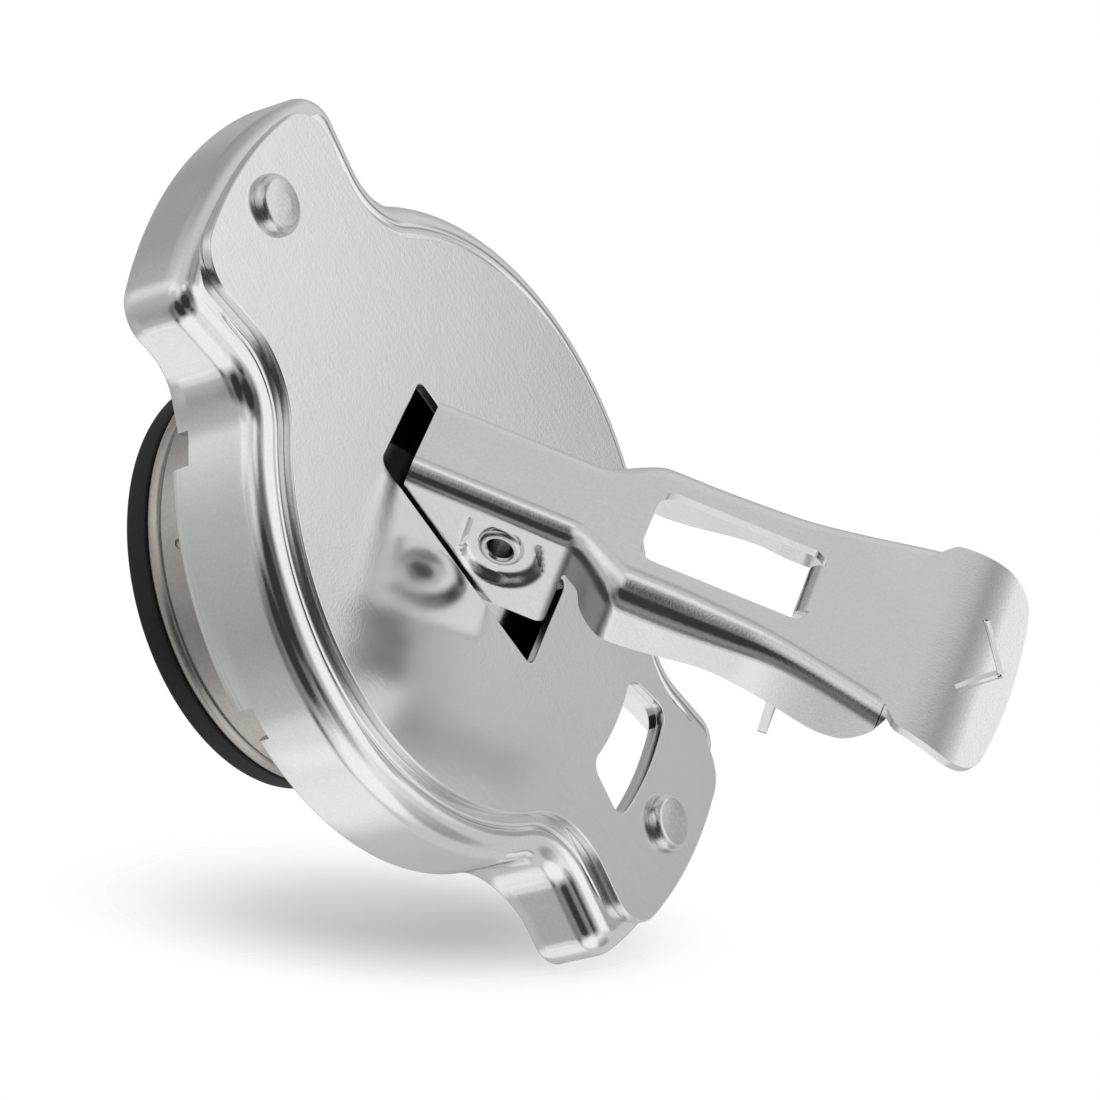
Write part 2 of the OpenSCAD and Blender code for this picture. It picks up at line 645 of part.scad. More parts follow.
// Coil with closed ends, drawn as a swept wire
module coil(r, wire, turns, low, high) {
    per = 16;
    sides = 8;
    steps = ceil(turns * per);
    open = high - low - 2 * wire;
    shut = 2.05 * wire;
    function rise(t) =
        t < 1 ? shut * t * 0.5 :
        t > turns - 1 ? open - shut * (turns - t) * 0.5 :
        shut * 0.5 + (open - shut) * (t - 1) / (turns - 2);
    points = [for (i = [0:steps], k = [0:sides - 1])
        let(t = turns * i / steps, a = 360 * t, q = r + wire * cos(360 * k / sides))
        [q * cos(a), q * sin(a), low + wire + rise(t) + wire * sin(360 * k / sides)]];
    faces = concat(
        [[for (k = [0:sides - 1]) k]],
        [for (i = [0:steps - 1], k = [0:sides - 1])
            [i * sides + k, (i + 1) * sides + k, (i + 1) * sides + (k + 1) % sides, i * sides + (k + 1) % sides]],
        [[for (k = [sides - 1:-1:0]) steps * sides + k]]);
    polyhedron(points, faces, convexity = 10);
}

module pressure_spring() {
    color(steel) coil(spring_radius, spring_wire, spring_turns, cup_floor, -spring_plate_sheet);
}

// Drawn cup that carries the pressure seal: a rounded band next to the seal, staking dimples round the wall,
// and a floor that guides the vacuum rivet and has a ring of air holes
module valve_cup() {
    side = cup_radius + cup_roll;
    turn = cup_band / 2;
    color(steel) difference() {
        rotate_extrude() {
            translate([vacuum_shank + vacuum_play, cup_z]) square([side - turn - vacuum_shank - vacuum_play, cup_sheet]);
            translate([side - turn, cup_z + turn]) circle(r = turn);
            translate([cup_wall - cup_sheet, cup_z]) square([side - turn - cup_wall + cup_sheet, cup_band]);
            translate([cup_wall - cup_sheet, cup_z + turn]) square([cup_sheet, cup_height - turn]);
        }
        for (a = [0:60:300]) rotate(a) translate([4.6, 0, cup_z - 1]) cylinder(r = 0.9, h = cup_sheet + 2, $fn = 32);
        for (a = [45:90:315]) rotate(a) translate([cup_wall + cup_dimple / 2, 0, cup_z + (cup_band + cup_height) / 2])
            sphere(r = cup_dimple, $fn = 32);
    }
}

module pressure_seal() {
    color(rubber) ring(cup_radius, seal_hole, seal_z, seal_thick);
}

// Pressed disc that closes the hole in the pressure seal from below: beaded flange, sloping side, flat end
module vacuum_disc() {
    t = vacuum_sheet;
    foot = vacuum_flat + vacuum_slope;
    bead = vacuum_radius - 2 * vacuum_bead;
    color(steel) translate([0, 0, seal_z]) rotate_extrude() polygon(concat(
        [[vacuum_radius, 0], [vacuum_radius, -t]],
        [for (i = [0:6]) [bead + vacuum_bead * cos(i * 30), -t - vacuum_bead * sin(i * 30)]],
        [[foot + 0.5, -t], [foot + 0.15, -t - 0.1], [foot - 0.1, -t - 0.35]],
        [[vacuum_flat + 0.6, 0.6 - vacuum_dome], [vacuum_flat + 0.3, 0.2 - vacuum_dome], [vacuum_flat, 0.05 - vacuum_dome],
         [vacuum_flat - 0.4, -vacuum_dome], [vacuum_shank, -vacuum_dome], [vacuum_shank, t - vacuum_dome],
         [vacuum_flat - 0.5, t - vacuum_dome], [vacuum_flat - 0.1, t + 0.15 - vacuum_dome]],
        [[foot - 0.7, -0.4], [foot - 0.45, -0.1], [foot - 0.1, 0]]));
}

// Brass rivet through the disc, the cup floor, the light spring and the keeper
module vacuum_rivet() {
    low = seal_z - vacuum_dome;
    high = cup_floor + vacuum_spring_height + keeper_sheet;
    round = (pow(vacuum_head, 2) + pow(vacuum_crown, 2)) / (2 * vacuum_crown);
    color(brass) rotate_extrude() {
        translate([0, low]) square([vacuum_shank, high - low]);
        translate([0, high]) square([vacuum_shank + 0.4, 0.4]);
        intersection() {
            translate([0, low - vacuum_crown + round]) circle(r = round);
            translate([0, low - vacuum_crown]) square([vacuum_head, vacuum_crown]);
        }
    }
}

module vacuum_spring() {
    color(steel) coil(2.3, 0.3, 4, cup_floor, cup_floor + vacuum_spring_height);
}

module vacuum_keeper() {
    color(steel) ring(keeper_radius, vacuum_shank, cup_floor + vacuum_spring_height, keeper_sheet);
}

cap_shell();
cover_plate();
ear_rivet_near();
ear_rivet_far();
neck_gasket();
spring_plate();
guide_eyelet();
lever();
pivot_pin();
pull_stem();
stirrup();
stem_washer();
pressure_spring();
valve_cup();
pressure_seal();
vacuum_disc();
vacuum_rivet();
vacuum_spring();
vacuum_keeper();
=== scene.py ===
import math

import bmesh
import bpy
import numpy as np
from mathutils import Matrix, Vector


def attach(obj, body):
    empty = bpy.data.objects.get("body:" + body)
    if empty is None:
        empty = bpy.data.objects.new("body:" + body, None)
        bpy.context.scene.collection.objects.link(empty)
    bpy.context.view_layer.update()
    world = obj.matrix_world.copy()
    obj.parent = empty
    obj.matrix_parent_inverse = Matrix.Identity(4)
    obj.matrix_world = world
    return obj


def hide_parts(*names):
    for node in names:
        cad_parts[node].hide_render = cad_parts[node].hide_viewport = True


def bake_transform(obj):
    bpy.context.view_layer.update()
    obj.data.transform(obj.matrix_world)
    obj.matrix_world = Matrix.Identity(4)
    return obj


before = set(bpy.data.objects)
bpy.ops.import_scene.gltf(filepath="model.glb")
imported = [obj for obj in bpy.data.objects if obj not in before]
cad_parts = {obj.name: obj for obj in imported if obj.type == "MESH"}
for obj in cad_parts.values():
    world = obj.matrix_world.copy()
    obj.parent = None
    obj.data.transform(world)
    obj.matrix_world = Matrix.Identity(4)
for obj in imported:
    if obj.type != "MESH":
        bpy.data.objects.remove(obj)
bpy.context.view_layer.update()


# Cap shell
# One piece of drawn steel, bright zinc plated: a level deck with a pressed recess, a rounded shoulder,
# a skirt that is shallower along the two ears, and two lugs bent in under the skirt. Sizes are in
# millimetres, out from the stem's axis and up from the underside of the gasket.
MM = 0.001
SHEET = 1.0
SHELL_TOP = 6.0
SHOULDER = 2.5
SKIRT_Z = -3.3
EAR_Z = -1.4
EAR_RISE = (27.5, 8.0)
LIP = 0.3
INNER_LIP = 0.2
RECESS_R = 25.4
RECESS_Z = 3.0
STEM_HOLE = 2.76
CREASE = 35
SHELL_ZINC = ((0.86, 0.87, 0.875), (0.80, 0.815, 0.825))

# Rounded corners of the recess, each as steps away from its wall and from its level
RECESS_FOOT = ((0.8, 0), (0.23, 0.23), (0, 0.8))
RECESS_BRIM = ((0, 0.5), (0.15, 0.15), (0.5, 0))
UNDER_BRIM = ((0.4, 0), (0.1, 0.1), (0, 0.4))
UNDER_FOOT = ((0, 0.6), (0.2, 0.2), (0.6, 0))

# Shallow groove between the cover's seat and the shoulder, which runs out on the ears
SEAT_GROOVE = ((0.75, 0), (0.62, 0.1), (0.45, 0.12), (0.3, 0.02))
GROOVE_ENDS = (32.0, 4.0)

# A form holds the radius of the round, the reach of the ears, the place and half width of the waist,
# the flare of the ears in degrees, and the radii of the ears' corners and of the blend at the waist
WAIST_X = 33.5
SHELL_FORM = (32.3, 44.2, WAIST_X, 16.6, 12.0, 3.6, 6.0)


def polar(radius, degrees):
    return radius * np.array([math.cos(math.radians(degrees)), math.sin(math.radians(degrees))])


def arc(centre, radius, first, last, count):
    turn = np.radians(np.linspace(first, last, count + 1))
    return np.array(centre) + radius * np.stack([np.cos(turn), np.sin(turn)], 1)


def heading(point):
    return math.degrees(math.atan2(point[1], point[0]))


def climb(x, start, length):
    """Smooth climb from 0 at the start to 1 at the end of the length."""
    t = np.clip((x - start) / length, 0, 1)
    return t * t * (3 - 2 * t)


def grown(form, by):
    """The same form with its edge moved out."""
    middle, reach, waist_x, waist, flare, corner, blend = form
    waist_x, waist = np.array([waist_x, waist]) + by * polar(1, flare + 90)
    return (middle + by, reach + by, waist_x, waist, flare, corner + by, blend - by)


def ear_outline(form):
    """Closed outline of a round with two flared ears, as points all round it."""
    middle, reach, waist_x, waist, flare, corner, blend = form
    along = polar(1, flare)
    out = polar(1, flare + 90)
    side_mid = np.array([waist_x, waist])

    def centre(start, limit):
        ahead = start @ along
        return start + (math.sqrt(ahead * ahead - start @ start + limit * limit) - ahead) * along

    corner_mid = centre(side_mid - corner * out, reach - corner)
    blend_mid = centre(side_mid + blend * out, middle + blend)
    tip = arc((0, 0), reach, 0, heading(corner_mid), 22)
    turn = arc(corner_mid, corner, heading(corner_mid), 90 + flare, 18)
    inward = arc(blend_mid, blend, flare - 90, heading(blend_mid) - 180, 30)
    side = turn[-1] + np.linspace(0, 1, 12)[:, None] * (inward[0] - turn[-1])
    rest = arc((0, 0), middle, heading(blend_mid), 90, 70)
    quarter = np.concatenate([tip, turn[1:], side[1:-1], inward, rest[1:]])
    back = quarter[-2:0:-1]
    return np.concatenate([quarter, back * (-1, 1), -quarter, back * (1, -1)])


def set_out(name, data):
    """New object in the scene."""
    made = bpy.data.objects.new(name, data)
    bpy.context.scene.collection.objects.link(made)
    return made


def face_outward(mesh, weld=False):
    """Turns all faces outward, with points that coincide welded first if asked."""
    bm = bmesh.new()
    bm.from_mesh(mesh)
    if weld:
        bmesh.ops.remove_doubles(bm, verts=bm.verts, dist=1e-7)
    bmesh.ops.recalc_face_normals(bm, faces=bm.faces)
    bm.to_mesh(mesh)
    bm.free()


def smooth(mesh, crease=CREASE):
    """Shades a mesh smooth but for edges sharper than the crease."""
    mesh.shade_smooth()
    mesh.set_sharp_from_angle(angle=math.radians(crease))


def solid(name, points, faces, crease=CREASE):
    """New object from points in millimetres."""
    mesh = bpy.data.meshes.new(name)
    mesh.from_pydata([tuple(p) for p in np.asarray(points, float) * MM], [], faces)
    mesh.validate()
    face_outward(mesh)
    smooth(mesh, crease)
    return set_out(name, mesh)


def wrap_faces(rings, count, closed=False):
    """Faces from ring to ring of count points each, and from the last to the first if closed."""
    return [(j * count + i, j * count + (i + 1) % count,
             (j + 1) % rings * count + (i + 1) % count, (j + 1) % rings * count + i)
            for j in range(rings if closed else rings - 1) for i in range(count)]


def swept(name, rings, closed=False, crease=CREASE):
    """Solid through rings of points, joined back to the first ring or else shut at both ends."""
    count = len(rings[0])
    points = np.concatenate(rings)
    faces = wrap_faces(len(rings), count, closed)
    if not closed:
        faces += [tuple(range(count)), tuple(range(len(points) - count, len(points)))]
    return solid(name, points, faces, crease)


def at_height(outline, z):
    return np.column_stack([outline, np.broadcast_to(z, len(outline))])


def prism(name, outline, low, high):
    """Upright solid over a closed outline."""
    return swept(name, [at_height(outline, low), at_height(outline, high)])


def join_solid(piece, other, operation):
    """Adds another solid to a piece, or cuts it out, and drops the other."""
    change = piece.modifiers.new(operation, "BOOLEAN")
    change.operation = operation
    change.solver = "EXACT"
    change.object = other
    graph = bpy.context.evaluated_depsgraph_get()
    mesh = bpy.data.meshes.new_from_object(piece.evaluated_get(graph))
    piece.modifiers.clear()
    piece.data = mesh
    smooth(mesh)
    bpy.data.objects.remove(other)


def level_out(piece):
    """Lets the large flat faces of a piece rule its shading, so that they look flat to their edges."""
    even = piece.modifiers.new("even", "WEIGHTED_NORMAL")
    even.keep_sharp = True


shell_edge = ear_outline(SHELL_FORM)
spoke = shell_edge / np.linalg.norm(shell_edge, axis=1)[:, None]
skirt_top = SHELL_TOP - SHOULDER
skirt_low = SKIRT_Z + (EAR_Z - SKIRT_Z) * climb(abs(shell_edge[:, 0]), *EAR_RISE)
groove = 1 - climb(abs(shell_edge[:, 0]), *GROOVE_ENDS)


def shell_loop(inset, z):
    return at_height(ear_outline(grown(SHELL_FORM, -inset)), z)


def round_loop(radius, z):
    return at_height(spoke * radius, z)


def shoulder_loops(radius, first, last, count):
    """Loops round the shell's shoulder, from one slope to another."""
    return [shell_loop(SHOULDER - radius * math.sin(t), skirt_top + radius * math.cos(t))
            for t in np.radians(np.linspace(first, last, count))]


outer_face = [round_loop(STEM_HOLE, RECESS_Z)]
outer_face += [round_loop(RECESS_R - back, RECESS_Z + up) for back, up in RECESS_FOOT]
outer_face += [round_loop(RECESS_R + out, SHELL_TOP - down) for out, down in RECESS_BRIM]
outer_face += [shell_loop(SHOULDER + inset, SHELL_TOP - down * groove) for inset, down in SEAT_GROOVE]
outer_face += shoulder_loops(SHOULDER, 0, 90, 19)
outer_face += [shell_loop(0, skirt_top - s * (skirt_top - skirt_low - LIP)) for s in (0.25, 0.5, 0.75, 1)]
outer_face += [shell_loop(LIP * 0.3, skirt_low + LIP * 0.3), shell_loop(LIP, skirt_low)]
inner_face = [shell_loop(SHEET - INNER_LIP, skirt_low), shell_loop(SHEET, skirt_low + INNER_LIP)]
inner_face += [shell_loop(SHEET, skirt_top - s * (skirt_top - skirt_low - INNER_LIP))
               for s in (0.66, 0.33, 0)]
inner_face += shoulder_loops(SHOULDER - SHEET, 80, 0, 9)
inner_face += [round_loop(RECESS_R + SHEET + out, SHELL_TOP - SHEET - down) for out, down in UNDER_BRIM]
inner_face += [round_loop(RECESS_R + SHEET - back, RECESS_Z - SHEET + up) for back, up in UNDER_FOOT]
inner_face += [round_loop(STEM_HOLE, RECESS_Z - SHEET)]
shell = swept("shell", outer_face + inner_face, closed=True)

# The two lugs run down out of the skirt and turn in level under it, with a notch at each end
LUG_ARC = 42.0
LUG_TURN = 60.0
LUG_R = 26.4
LUG_DROP = 1.5
LUG_SHEET = 0.8
LUG_ROOT = 1.0
LUG_RINGS = 41
NOTCH_WIDE = 3.4
NOTCH_HIGH = 1.3
NOTCH_BELOW = 5.0
NOTCH_REACH = 3.0


def oblong(near, far, low, high):
    return [(near, low), (far, low), (far, high), (near, high)]


lug_out = SHELL_FORM[0] - 0.1
lug_bend = (lug_out - LUG_DROP, SKIRT_Z)
lug_section = [(lug_out - LUG_SHEET, SKIRT_Z + LUG_ROOT), (lug_out, SKIRT_Z + LUG_ROOT),
               *arc(lug_bend, LUG_DROP, 0, -90, 10),
               (LUG_R, SKIRT_Z - LUG_DROP), (LUG_R, SKIRT_Z - LUG_DROP + LUG_SHEET),
               *arc(lug_bend, LUG_DROP - LUG_SHEET, -90, 0, 10)]
for lug_turn in (LUG_TURN, LUG_TURN + 180):
    lug_from = lug_turn - LUG_ARC / 2
    lug_to = lug_turn + LUG_ARC / 2
    for edge, low, high in ((lug_from, -NOTCH_WIDE, 0), (lug_to, 0, NOTCH_WIDE)):
        notch = [x * polar(1, edge) + y * polar(1, edge + 90)
                 for x, y in oblong(SHELL_FORM[0] - NOTCH_REACH, SHELL_FORM[0] + NOTCH_REACH, low, high)]
        cutter = prism("notch", notch, SKIRT_Z - NOTCH_BELOW, SKIRT_Z + NOTCH_HIGH)
        join_solid(shell, cutter, "DIFFERENCE")
    rings = [[(*polar(r, turn), z) for r, z in lug_section]
             for turn in np.linspace(lug_from, lug_to, LUG_RINGS)]
    join_solid(shell, swept("lug", rings), "UNION")

# Arc slot through the deck and the cover for the lever's tongue, a little wider in the deck
SLOT_IN = 26.9
SLOT_OUT = 33.3
SLOT_FROM = -10.0
SLOT_TO = 17.5
SLOT_ROUND = 1.6
SLOT_SPARE = 0.25
SLOT_CUT = (SHELL_TOP - 3, SHELL_TOP + 2)


def arc_slot(spare=0.0):
    """Outline of the arc slot with round corners, opened out by spare."""
    far = SLOT_OUT - SLOT_ROUND
    near = SLOT_IN + SLOT_ROUND
    r = SLOT_ROUND + spare
    far_turn = math.degrees(math.asin(SLOT_ROUND / far))
    near_turn = math.degrees(math.asin(SLOT_ROUND / near))
    return np.concatenate([
        arc((0, 0), SLOT_OUT + spare, SLOT_FROM + far_turn, SLOT_TO - far_turn, 24),
        arc(polar(far, SLOT_TO - far_turn), r, SLOT_TO - far_turn, SLOT_TO + 90, 10)[1:],
        arc(polar(near, SLOT_TO - near_turn), r, SLOT_TO + 90, SLOT_TO - near_turn + 180, 10),
        arc((0, 0), SLOT_IN - spare, SLOT_TO - near_turn, SLOT_FROM + near_turn, 24)[1:],
        arc(polar(near, SLOT_FROM + near_turn), r, SLOT_FROM + near_turn + 180, SLOT_FROM + 270, 10)[1:],
        arc(polar(far, SLOT_FROM + far_turn), r, SLOT_FROM - 90, SLOT_FROM + far_turn, 10)[:-1]])


join_solid(shell, prism("slot", arc_slot(SLOT_SPARE), *SLOT_CUT), "DIFFERENCE")
level_out(shell)
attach(shell, "base")
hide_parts("cap_shell")


class Shade:
    """A socket in a finish's node tree. Sums and products of values add their Math nodes."""

    def __init__(self, tree, socket=None):
        self.tree = tree
        self.socket = socket

    def node(self, kind, settings=None, sockets=None, out=0):
        """New node: its settings first, then the values or links of its sockets."""
        made = self.tree.nodes.new(kind)
        for key, given in (settings or {}).items():
            setattr(made, key, given)
        for key, given in (sockets or {}).items():
            if isinstance(given, Shade):
                given.feed(made.inputs[key])
            else:
                made.inputs[key].default_value = given
        return Shade(self.tree, made.outputs[out])

    def feed(self, socket):
        self.tree.links.new(self.socket, socket)

    def maths(self, operation, first, second):
        return self.node("ShaderNodeMath", {"operation": operation}, {0: first, 1: second})

    def __add__(self, other):
        return self.maths("ADD", self, other)

    def __sub__(self, other):
        return self.maths("SUBTRACT", self, other)

    def __rsub__(self, other):
        return self.maths("SUBTRACT", other, self)

    def __mul__(self, other):
        return self.maths("MULTIPLY", self, other)

    __radd__ = __add__
    __rmul__ = __mul__

    def noise(self, place, scale, detail):
        return self.node("ShaderNodeTexNoise", None, {"Vector": place, "Scale": scale, "Detail": detail})

    def mix(self, low, high):
        """Colour that goes from low to high as this value goes from 0 to 1."""
        colours = {0: self, 6: (*low, 1), 7: (*high, 1)}
        return self.node("ShaderNodeMix", {"data_type": "RGBA"}, colours, out=2)

    def swell(self, low, high):
        """Smooth step of this value between two limits."""
        limits = {0: self, 1: low, 2: high}
        return self.node("ShaderNodeMapRange", {"interpolation_type": "SMOOTHSTEP"}, limits)

    def bump(self, depth):
        """Normal of a skin with this value as its height, of a depth in millimetres."""
        return self.node("ShaderNodeBump", None, {"Strength": 1.0, "Distance": depth * MM, "Height": self})


def finish(name):
    """New material, with its wrapped tree and its surface shader."""
    material = bpy.data.materials.new(name)
    material.use_nodes = True
    surface = material.node_tree.nodes["Principled BSDF"]
    return material, Shade(material.node_tree), surface


def wear(piece, material):
    piece.data.materials.clear()
    piece.data.materials.append(material)


def zinc_finish(name, light, dark, gloss, spread, relief, lines=0.0, lines_turn=0.0):
    """Zinc plated steel: rolling lines of the sheet, a fine stipple and soft clouds in the gloss."""
    material, tree, surface = finish(name)
    place = tree.node("ShaderNodeTexCoord", out="Object")
    slant = (0, 0, math.radians(lines_turn))
    rolled = tree.node("ShaderNodeMapping", None,
                       {"Vector": place, "Rotation": slant, "Scale": (420, 2600, 2600)})
    streak = tree.noise(rolled, 1.0, 3.0)
    stipple = tree.noise(place, 4200.0, 2.0)
    cloud = tree.noise(place, 90.0, 4.0)
    grain = streak * lines + stipple * (1 - lines)
    shade = (grain * 0.6 + cloud * 0.4).swell(0.3, 0.7)
    shade.mix(dark, light).feed(surface.inputs["Base Color"])
    rough = gloss + spread * (grain * 0.5 + cloud * 0.5 - 0.5)
    rough.feed(surface.inputs["Roughness"])
    grain.bump(relief).feed(surface.inputs["Normal"])
    surface.inputs["Metallic"].default_value = 1.0
    return material


wear(shell, zinc_finish("bright_zinc", *SHELL_ZINC, gloss=0.11, spread=0.08, relief=0.003))


# Neck gasket
# A flat ring of black rubber under the pressed recess, held by the guide eyelet, which seals on the rim
# of the filler neck.
GASKET_R = 28.0
GASKET_THICK = 2.0
GASKET_EDGE = 0.25
RUBBER_BLACK = ((0.005, 0.005, 0.0055), (0.011, 0.011, 0.012))
TURNED_CREASE = 40
ON_AXIS = 1e-6


def softened(corners, radius):
    """Closed profile with each corner away from the axis rounded."""
    n = len(corners)
    made = []
    for i in range(n):
        before, here, after = (np.array(corners[k % n], float) for k in (i - 1, i, i + 1))
        if here[0] < ON_AXIS:
            made.append(here)
            continue
        to_before = np.linalg.norm(before - here)
        to_after = np.linalg.norm(after - here)
        reach = min(radius, 0.45 * to_before, 0.45 * to_after)
        start = here + (before - here) / to_before * reach
        stop = here + (after - here) / to_after * reach
        for t in np.linspace(0, 1, 5):
            made.append((1 - t) ** 2 * start + 2 * t * (1 - t) * here + t * t * stop)
    return np.array(made)


def turned_piece(name, corners, edge, centre=(0, 0), steps=160):
    """Solid turned round an upright axis from a profile of radius and height with rounded edges."""
    profile = softened(corners, edge)
    ring = arc((0, 0), 1, 0, 360, steps)[:-1]
    rings = [at_height(ring * r + np.array(centre), z) for r, z in profile if r > ON_AXIS]
    return swept(name, rings, closed=min(profile[:, 0]) > ON_AXIS, crease=TURNED_CREASE)


def rubber_finish(name, dark, light):
    """Moulded black rubber: a matte skin with a fine bloom."""
    material, tree, surface = finish(name)
    place = tree.node("ShaderNodeTexCoord", out="Object")
    skin = tree.noise(place, 1800.0, 3.0)
    bloom = tree.noise(place, 110.0, 4.0)
    shade = (skin * 0.4 + bloom * 0.6).swell(0.3, 0.75)
    shade.mix(dark, light).feed(surface.inputs["Base Color"])
    (0.5 + 0.2 * bloom).feed(surface.inputs["Roughness"])
    skin.bump(0.02).feed(surface.inputs["Normal"])
    surface.inputs["Specular IOR Level"].default_value = 0.35
    return material


rubber = rubber_finish("black_rubber", *RUBBER_BLACK)
gasket = turned_piece("gasket", oblong(STEM_HOLE, GASKET_R, 0, GASKET_THICK), GASKET_EDGE)
wear(gasket, rubber)
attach(gasket, "base")
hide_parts("neck_gasket")


# Spring plate and guide eyelet
# A stainless disc that the pressure spring pushes on, held with the gasket by an eyelet rolled over
# at both ends, in which the pull stem slides.
SPRING_PLATE_R = 18.4
SPRING_PLATE_LOW = -0.8
SPRING_PLATE_EDGE = 0.15
EYELET_BORE = 2.06
EYELET_TOP = 3.4
EYELET_FOOT = 4.6
EYELET_FLANGE = 0.5
EYELET_EDGE = 0.18
SATIN_STEEL = ((0.70, 0.675, 0.645), (0.60, 0.58, 0.555))


def steel_finish(name, light, dark, gloss):
    """Stainless sheet with a satin, slightly stippled skin."""
    material, tree, surface = finish(name)
    place = tree.node("ShaderNodeTexCoord", out="Object")
    stipple = tree.noise(place, 3000.0, 2.0)
    cloud = tree.noise(place, 130.0, 4.0)
    shade = (stipple * 0.5 + cloud * 0.5).swell(0.3, 0.7)
    shade.mix(dark, light).feed(surface.inputs["Base Color"])
    (gloss + 0.16 * (cloud - 0.5)).feed(surface.inputs["Roughness"])
    stipple.bump(0.006).feed(surface.inputs["Normal"])
    surface.inputs["Metallic"].default_value = 1.0
    return material


satin_steel = steel_finish("satin_stainless", *SATIN_STEEL, gloss=0.33)
plate_section = oblong(STEM_HOLE, SPRING_PLATE_R, SPRING_PLATE_LOW, 0)
spring_plate = turned_piece("spring_plate", plate_section, SPRING_PLATE_EDGE)
eyelet_low = SPRING_PLATE_LOW - EYELET_FLANGE
eyelet_high = RECESS_Z + EYELET_FLANGE
eyelet = turned_piece("eyelet", [
    (EYELET_BORE, eyelet_low), (EYELET_FOOT, eyelet_low), (EYELET_FOOT, SPRING_PLATE_LOW),
    (STEM_HOLE, SPRING_PLATE_LOW), (STEM_HOLE, RECESS_Z), (EYELET_TOP, RECESS_Z),
    (EYELET_TOP, eyelet_high), (EYELET_BORE, eyelet_high)], EYELET_EDGE)
for piece, node in ((spring_plate, "spring_plate"), (eyelet, "guide_eyelet")):
    wear(piece, satin_steel)
    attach(piece, "base")
    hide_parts(node)


# Cover plate
# Flat zinc plated sheet over the recess, riveted to the ears and blanked with a slot for the lever and
# one for its tongue. The rolling lines of the sheet run slantwise over it.
PLATE_TOP = 7.0
PLATE_FORM = (28.3, 43.4, WAIST_X, 12.1, 12.0, 4.3, 10.0)
PLATE_EDGE = 0.14
LEVER_TURN = 5.2
LEVER_SLOT = (27.4, 11.8)
LEVER_SLOT_ROUND = 0.9
RIVET_X = 38.3
RIVET_SHANK = 1.5
PLATE_ZINC = ((0.87, 0.87, 0.865), (0.82, 0.82, 0.82))


def rounded_box(length, width, radius):
    x = length / 2 - radius
    y = width / 2 - radius
    corners = ((x, y, 0), (-x, y, 90), (-x, -y, 180), (x, -y, 270))
    return np.concatenate([arc((x, y), radius, turn, turn + 90, 8) for x, y, turn in corners])


def blanked_sheet(name, outlines, low, high, edge):
    """Sheet with its first outline outside and the rest cut through, all edges a little rounded."""
    curve = bpy.data.curves.new(name, "CURVE")
    curve.dimensions = "2D"
    curve.fill_mode = "BOTH"
    curve.extrude = ((high - low) / 2 - edge) * MM
    curve.bevel_depth = edge * MM
    curve.bevel_resolution = 3
    curve.offset = -edge * MM
    for outline in outlines:
        points = np.zeros((len(outline), 4), np.float32)
        points[:, :2] = outline * MM
        points[:, 3] = 1
        spline = curve.splines.new("POLY")
        spline.points.add(len(outline) - 1)
        spline.points.foreach_set("co", points.ravel())
        spline.use_cyclic_u = True
    drawn = set_out(name, curve)
    drawn.location.z = (low + high) / 2 * MM
    bpy.context.view_layer.update()
    mesh = bpy.data.meshes.new_from_object(drawn.evaluated_get(bpy.context.evaluated_depsgraph_get()))
    mesh.transform(drawn.matrix_world)
    bpy.data.objects.remove(drawn)
    face_outward(mesh, weld=True)
    smooth(mesh)
    for face in mesh.polygons:
        face.use_smooth = abs(face.normal.z) < 0.999
    return set_out(name, mesh)


swing = np.array([polar(1, LEVER_TURN), polar(1, LEVER_TURN + 90)])
outlines = [ear_outline(PLATE_FORM), rounded_box(*LEVER_SLOT, LEVER_SLOT_ROUND) @ swing, arc_slot()]
outlines += [arc((x, 0), RIVET_SHANK, 0, 360, 40)[:-1] for x in (-RIVET_X, RIVET_X)]
plate = blanked_sheet("cover", outlines, SHELL_TOP, PLATE_TOP, PLATE_EDGE)
wear(plate, zinc_finish("rolled_zinc", *PLATE_ZINC, gloss=0.19, spread=0.06, relief=0.011,
                        lines=0.4, lines_turn=38.0))
level_out(plate)
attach(plate, "base")
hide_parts("cover_plate")


# Ear rivets
# Two zinc plated rivets that hold the cover to the shell. The heads have a nearly flat top and a softly
# rounded flank, and the tails are spread under the deck.
RIVET_HEAD = 3.05
RIVET_TOP = 2.2
RIVET_HIGH = 1.2
RIVET_RIM = 0.15
RIVET_CROWN = 0.06
RIVET_TAIL = 2.5
RIVET_TAIL_HIGH = 0.6
RIVET_EDGE = 0.08
RIVET_ZINC = ((0.76, 0.76, 0.755), (0.66, 0.66, 0.66))
rivet_zinc = zinc_finish("rivet_zinc", *RIVET_ZINC, gloss=0.2, spread=0.14, relief=0.006)
deck_low = SHELL_TOP - SHEET
head_top = PLATE_TOP + RIVET_HIGH
flank_high = RIVET_HIGH - RIVET_RIM - RIVET_CROWN
flank = [(RIVET_TOP + (RIVET_HEAD - RIVET_TOP) * x, PLATE_TOP + RIVET_RIM + flank_high * z)
         for x, z in arc((0, 0), 1, 0, 90, 10)]
rivet_section = [
    (0, deck_low - RIVET_TAIL_HIGH), (RIVET_TAIL, deck_low - RIVET_TAIL_HIGH), (RIVET_TAIL, deck_low),
    (RIVET_SHANK, deck_low), (RIVET_SHANK, PLATE_TOP), (RIVET_HEAD, PLATE_TOP), *flank,
    (RIVET_TOP / 2, head_top - RIVET_CROWN / 4), (0, head_top)]
for name, node, x in (("rivet_near", "ear_rivet_near", -RIVET_X), ("rivet_far", "ear_rivet_far", RIVET_X)):
    rivet = turned_piece(name, rivet_section, RIVET_EDGE, (x, 0), 96)
    wear(rivet, rivet_zinc)
    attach(rivet, "base")
    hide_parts(node)


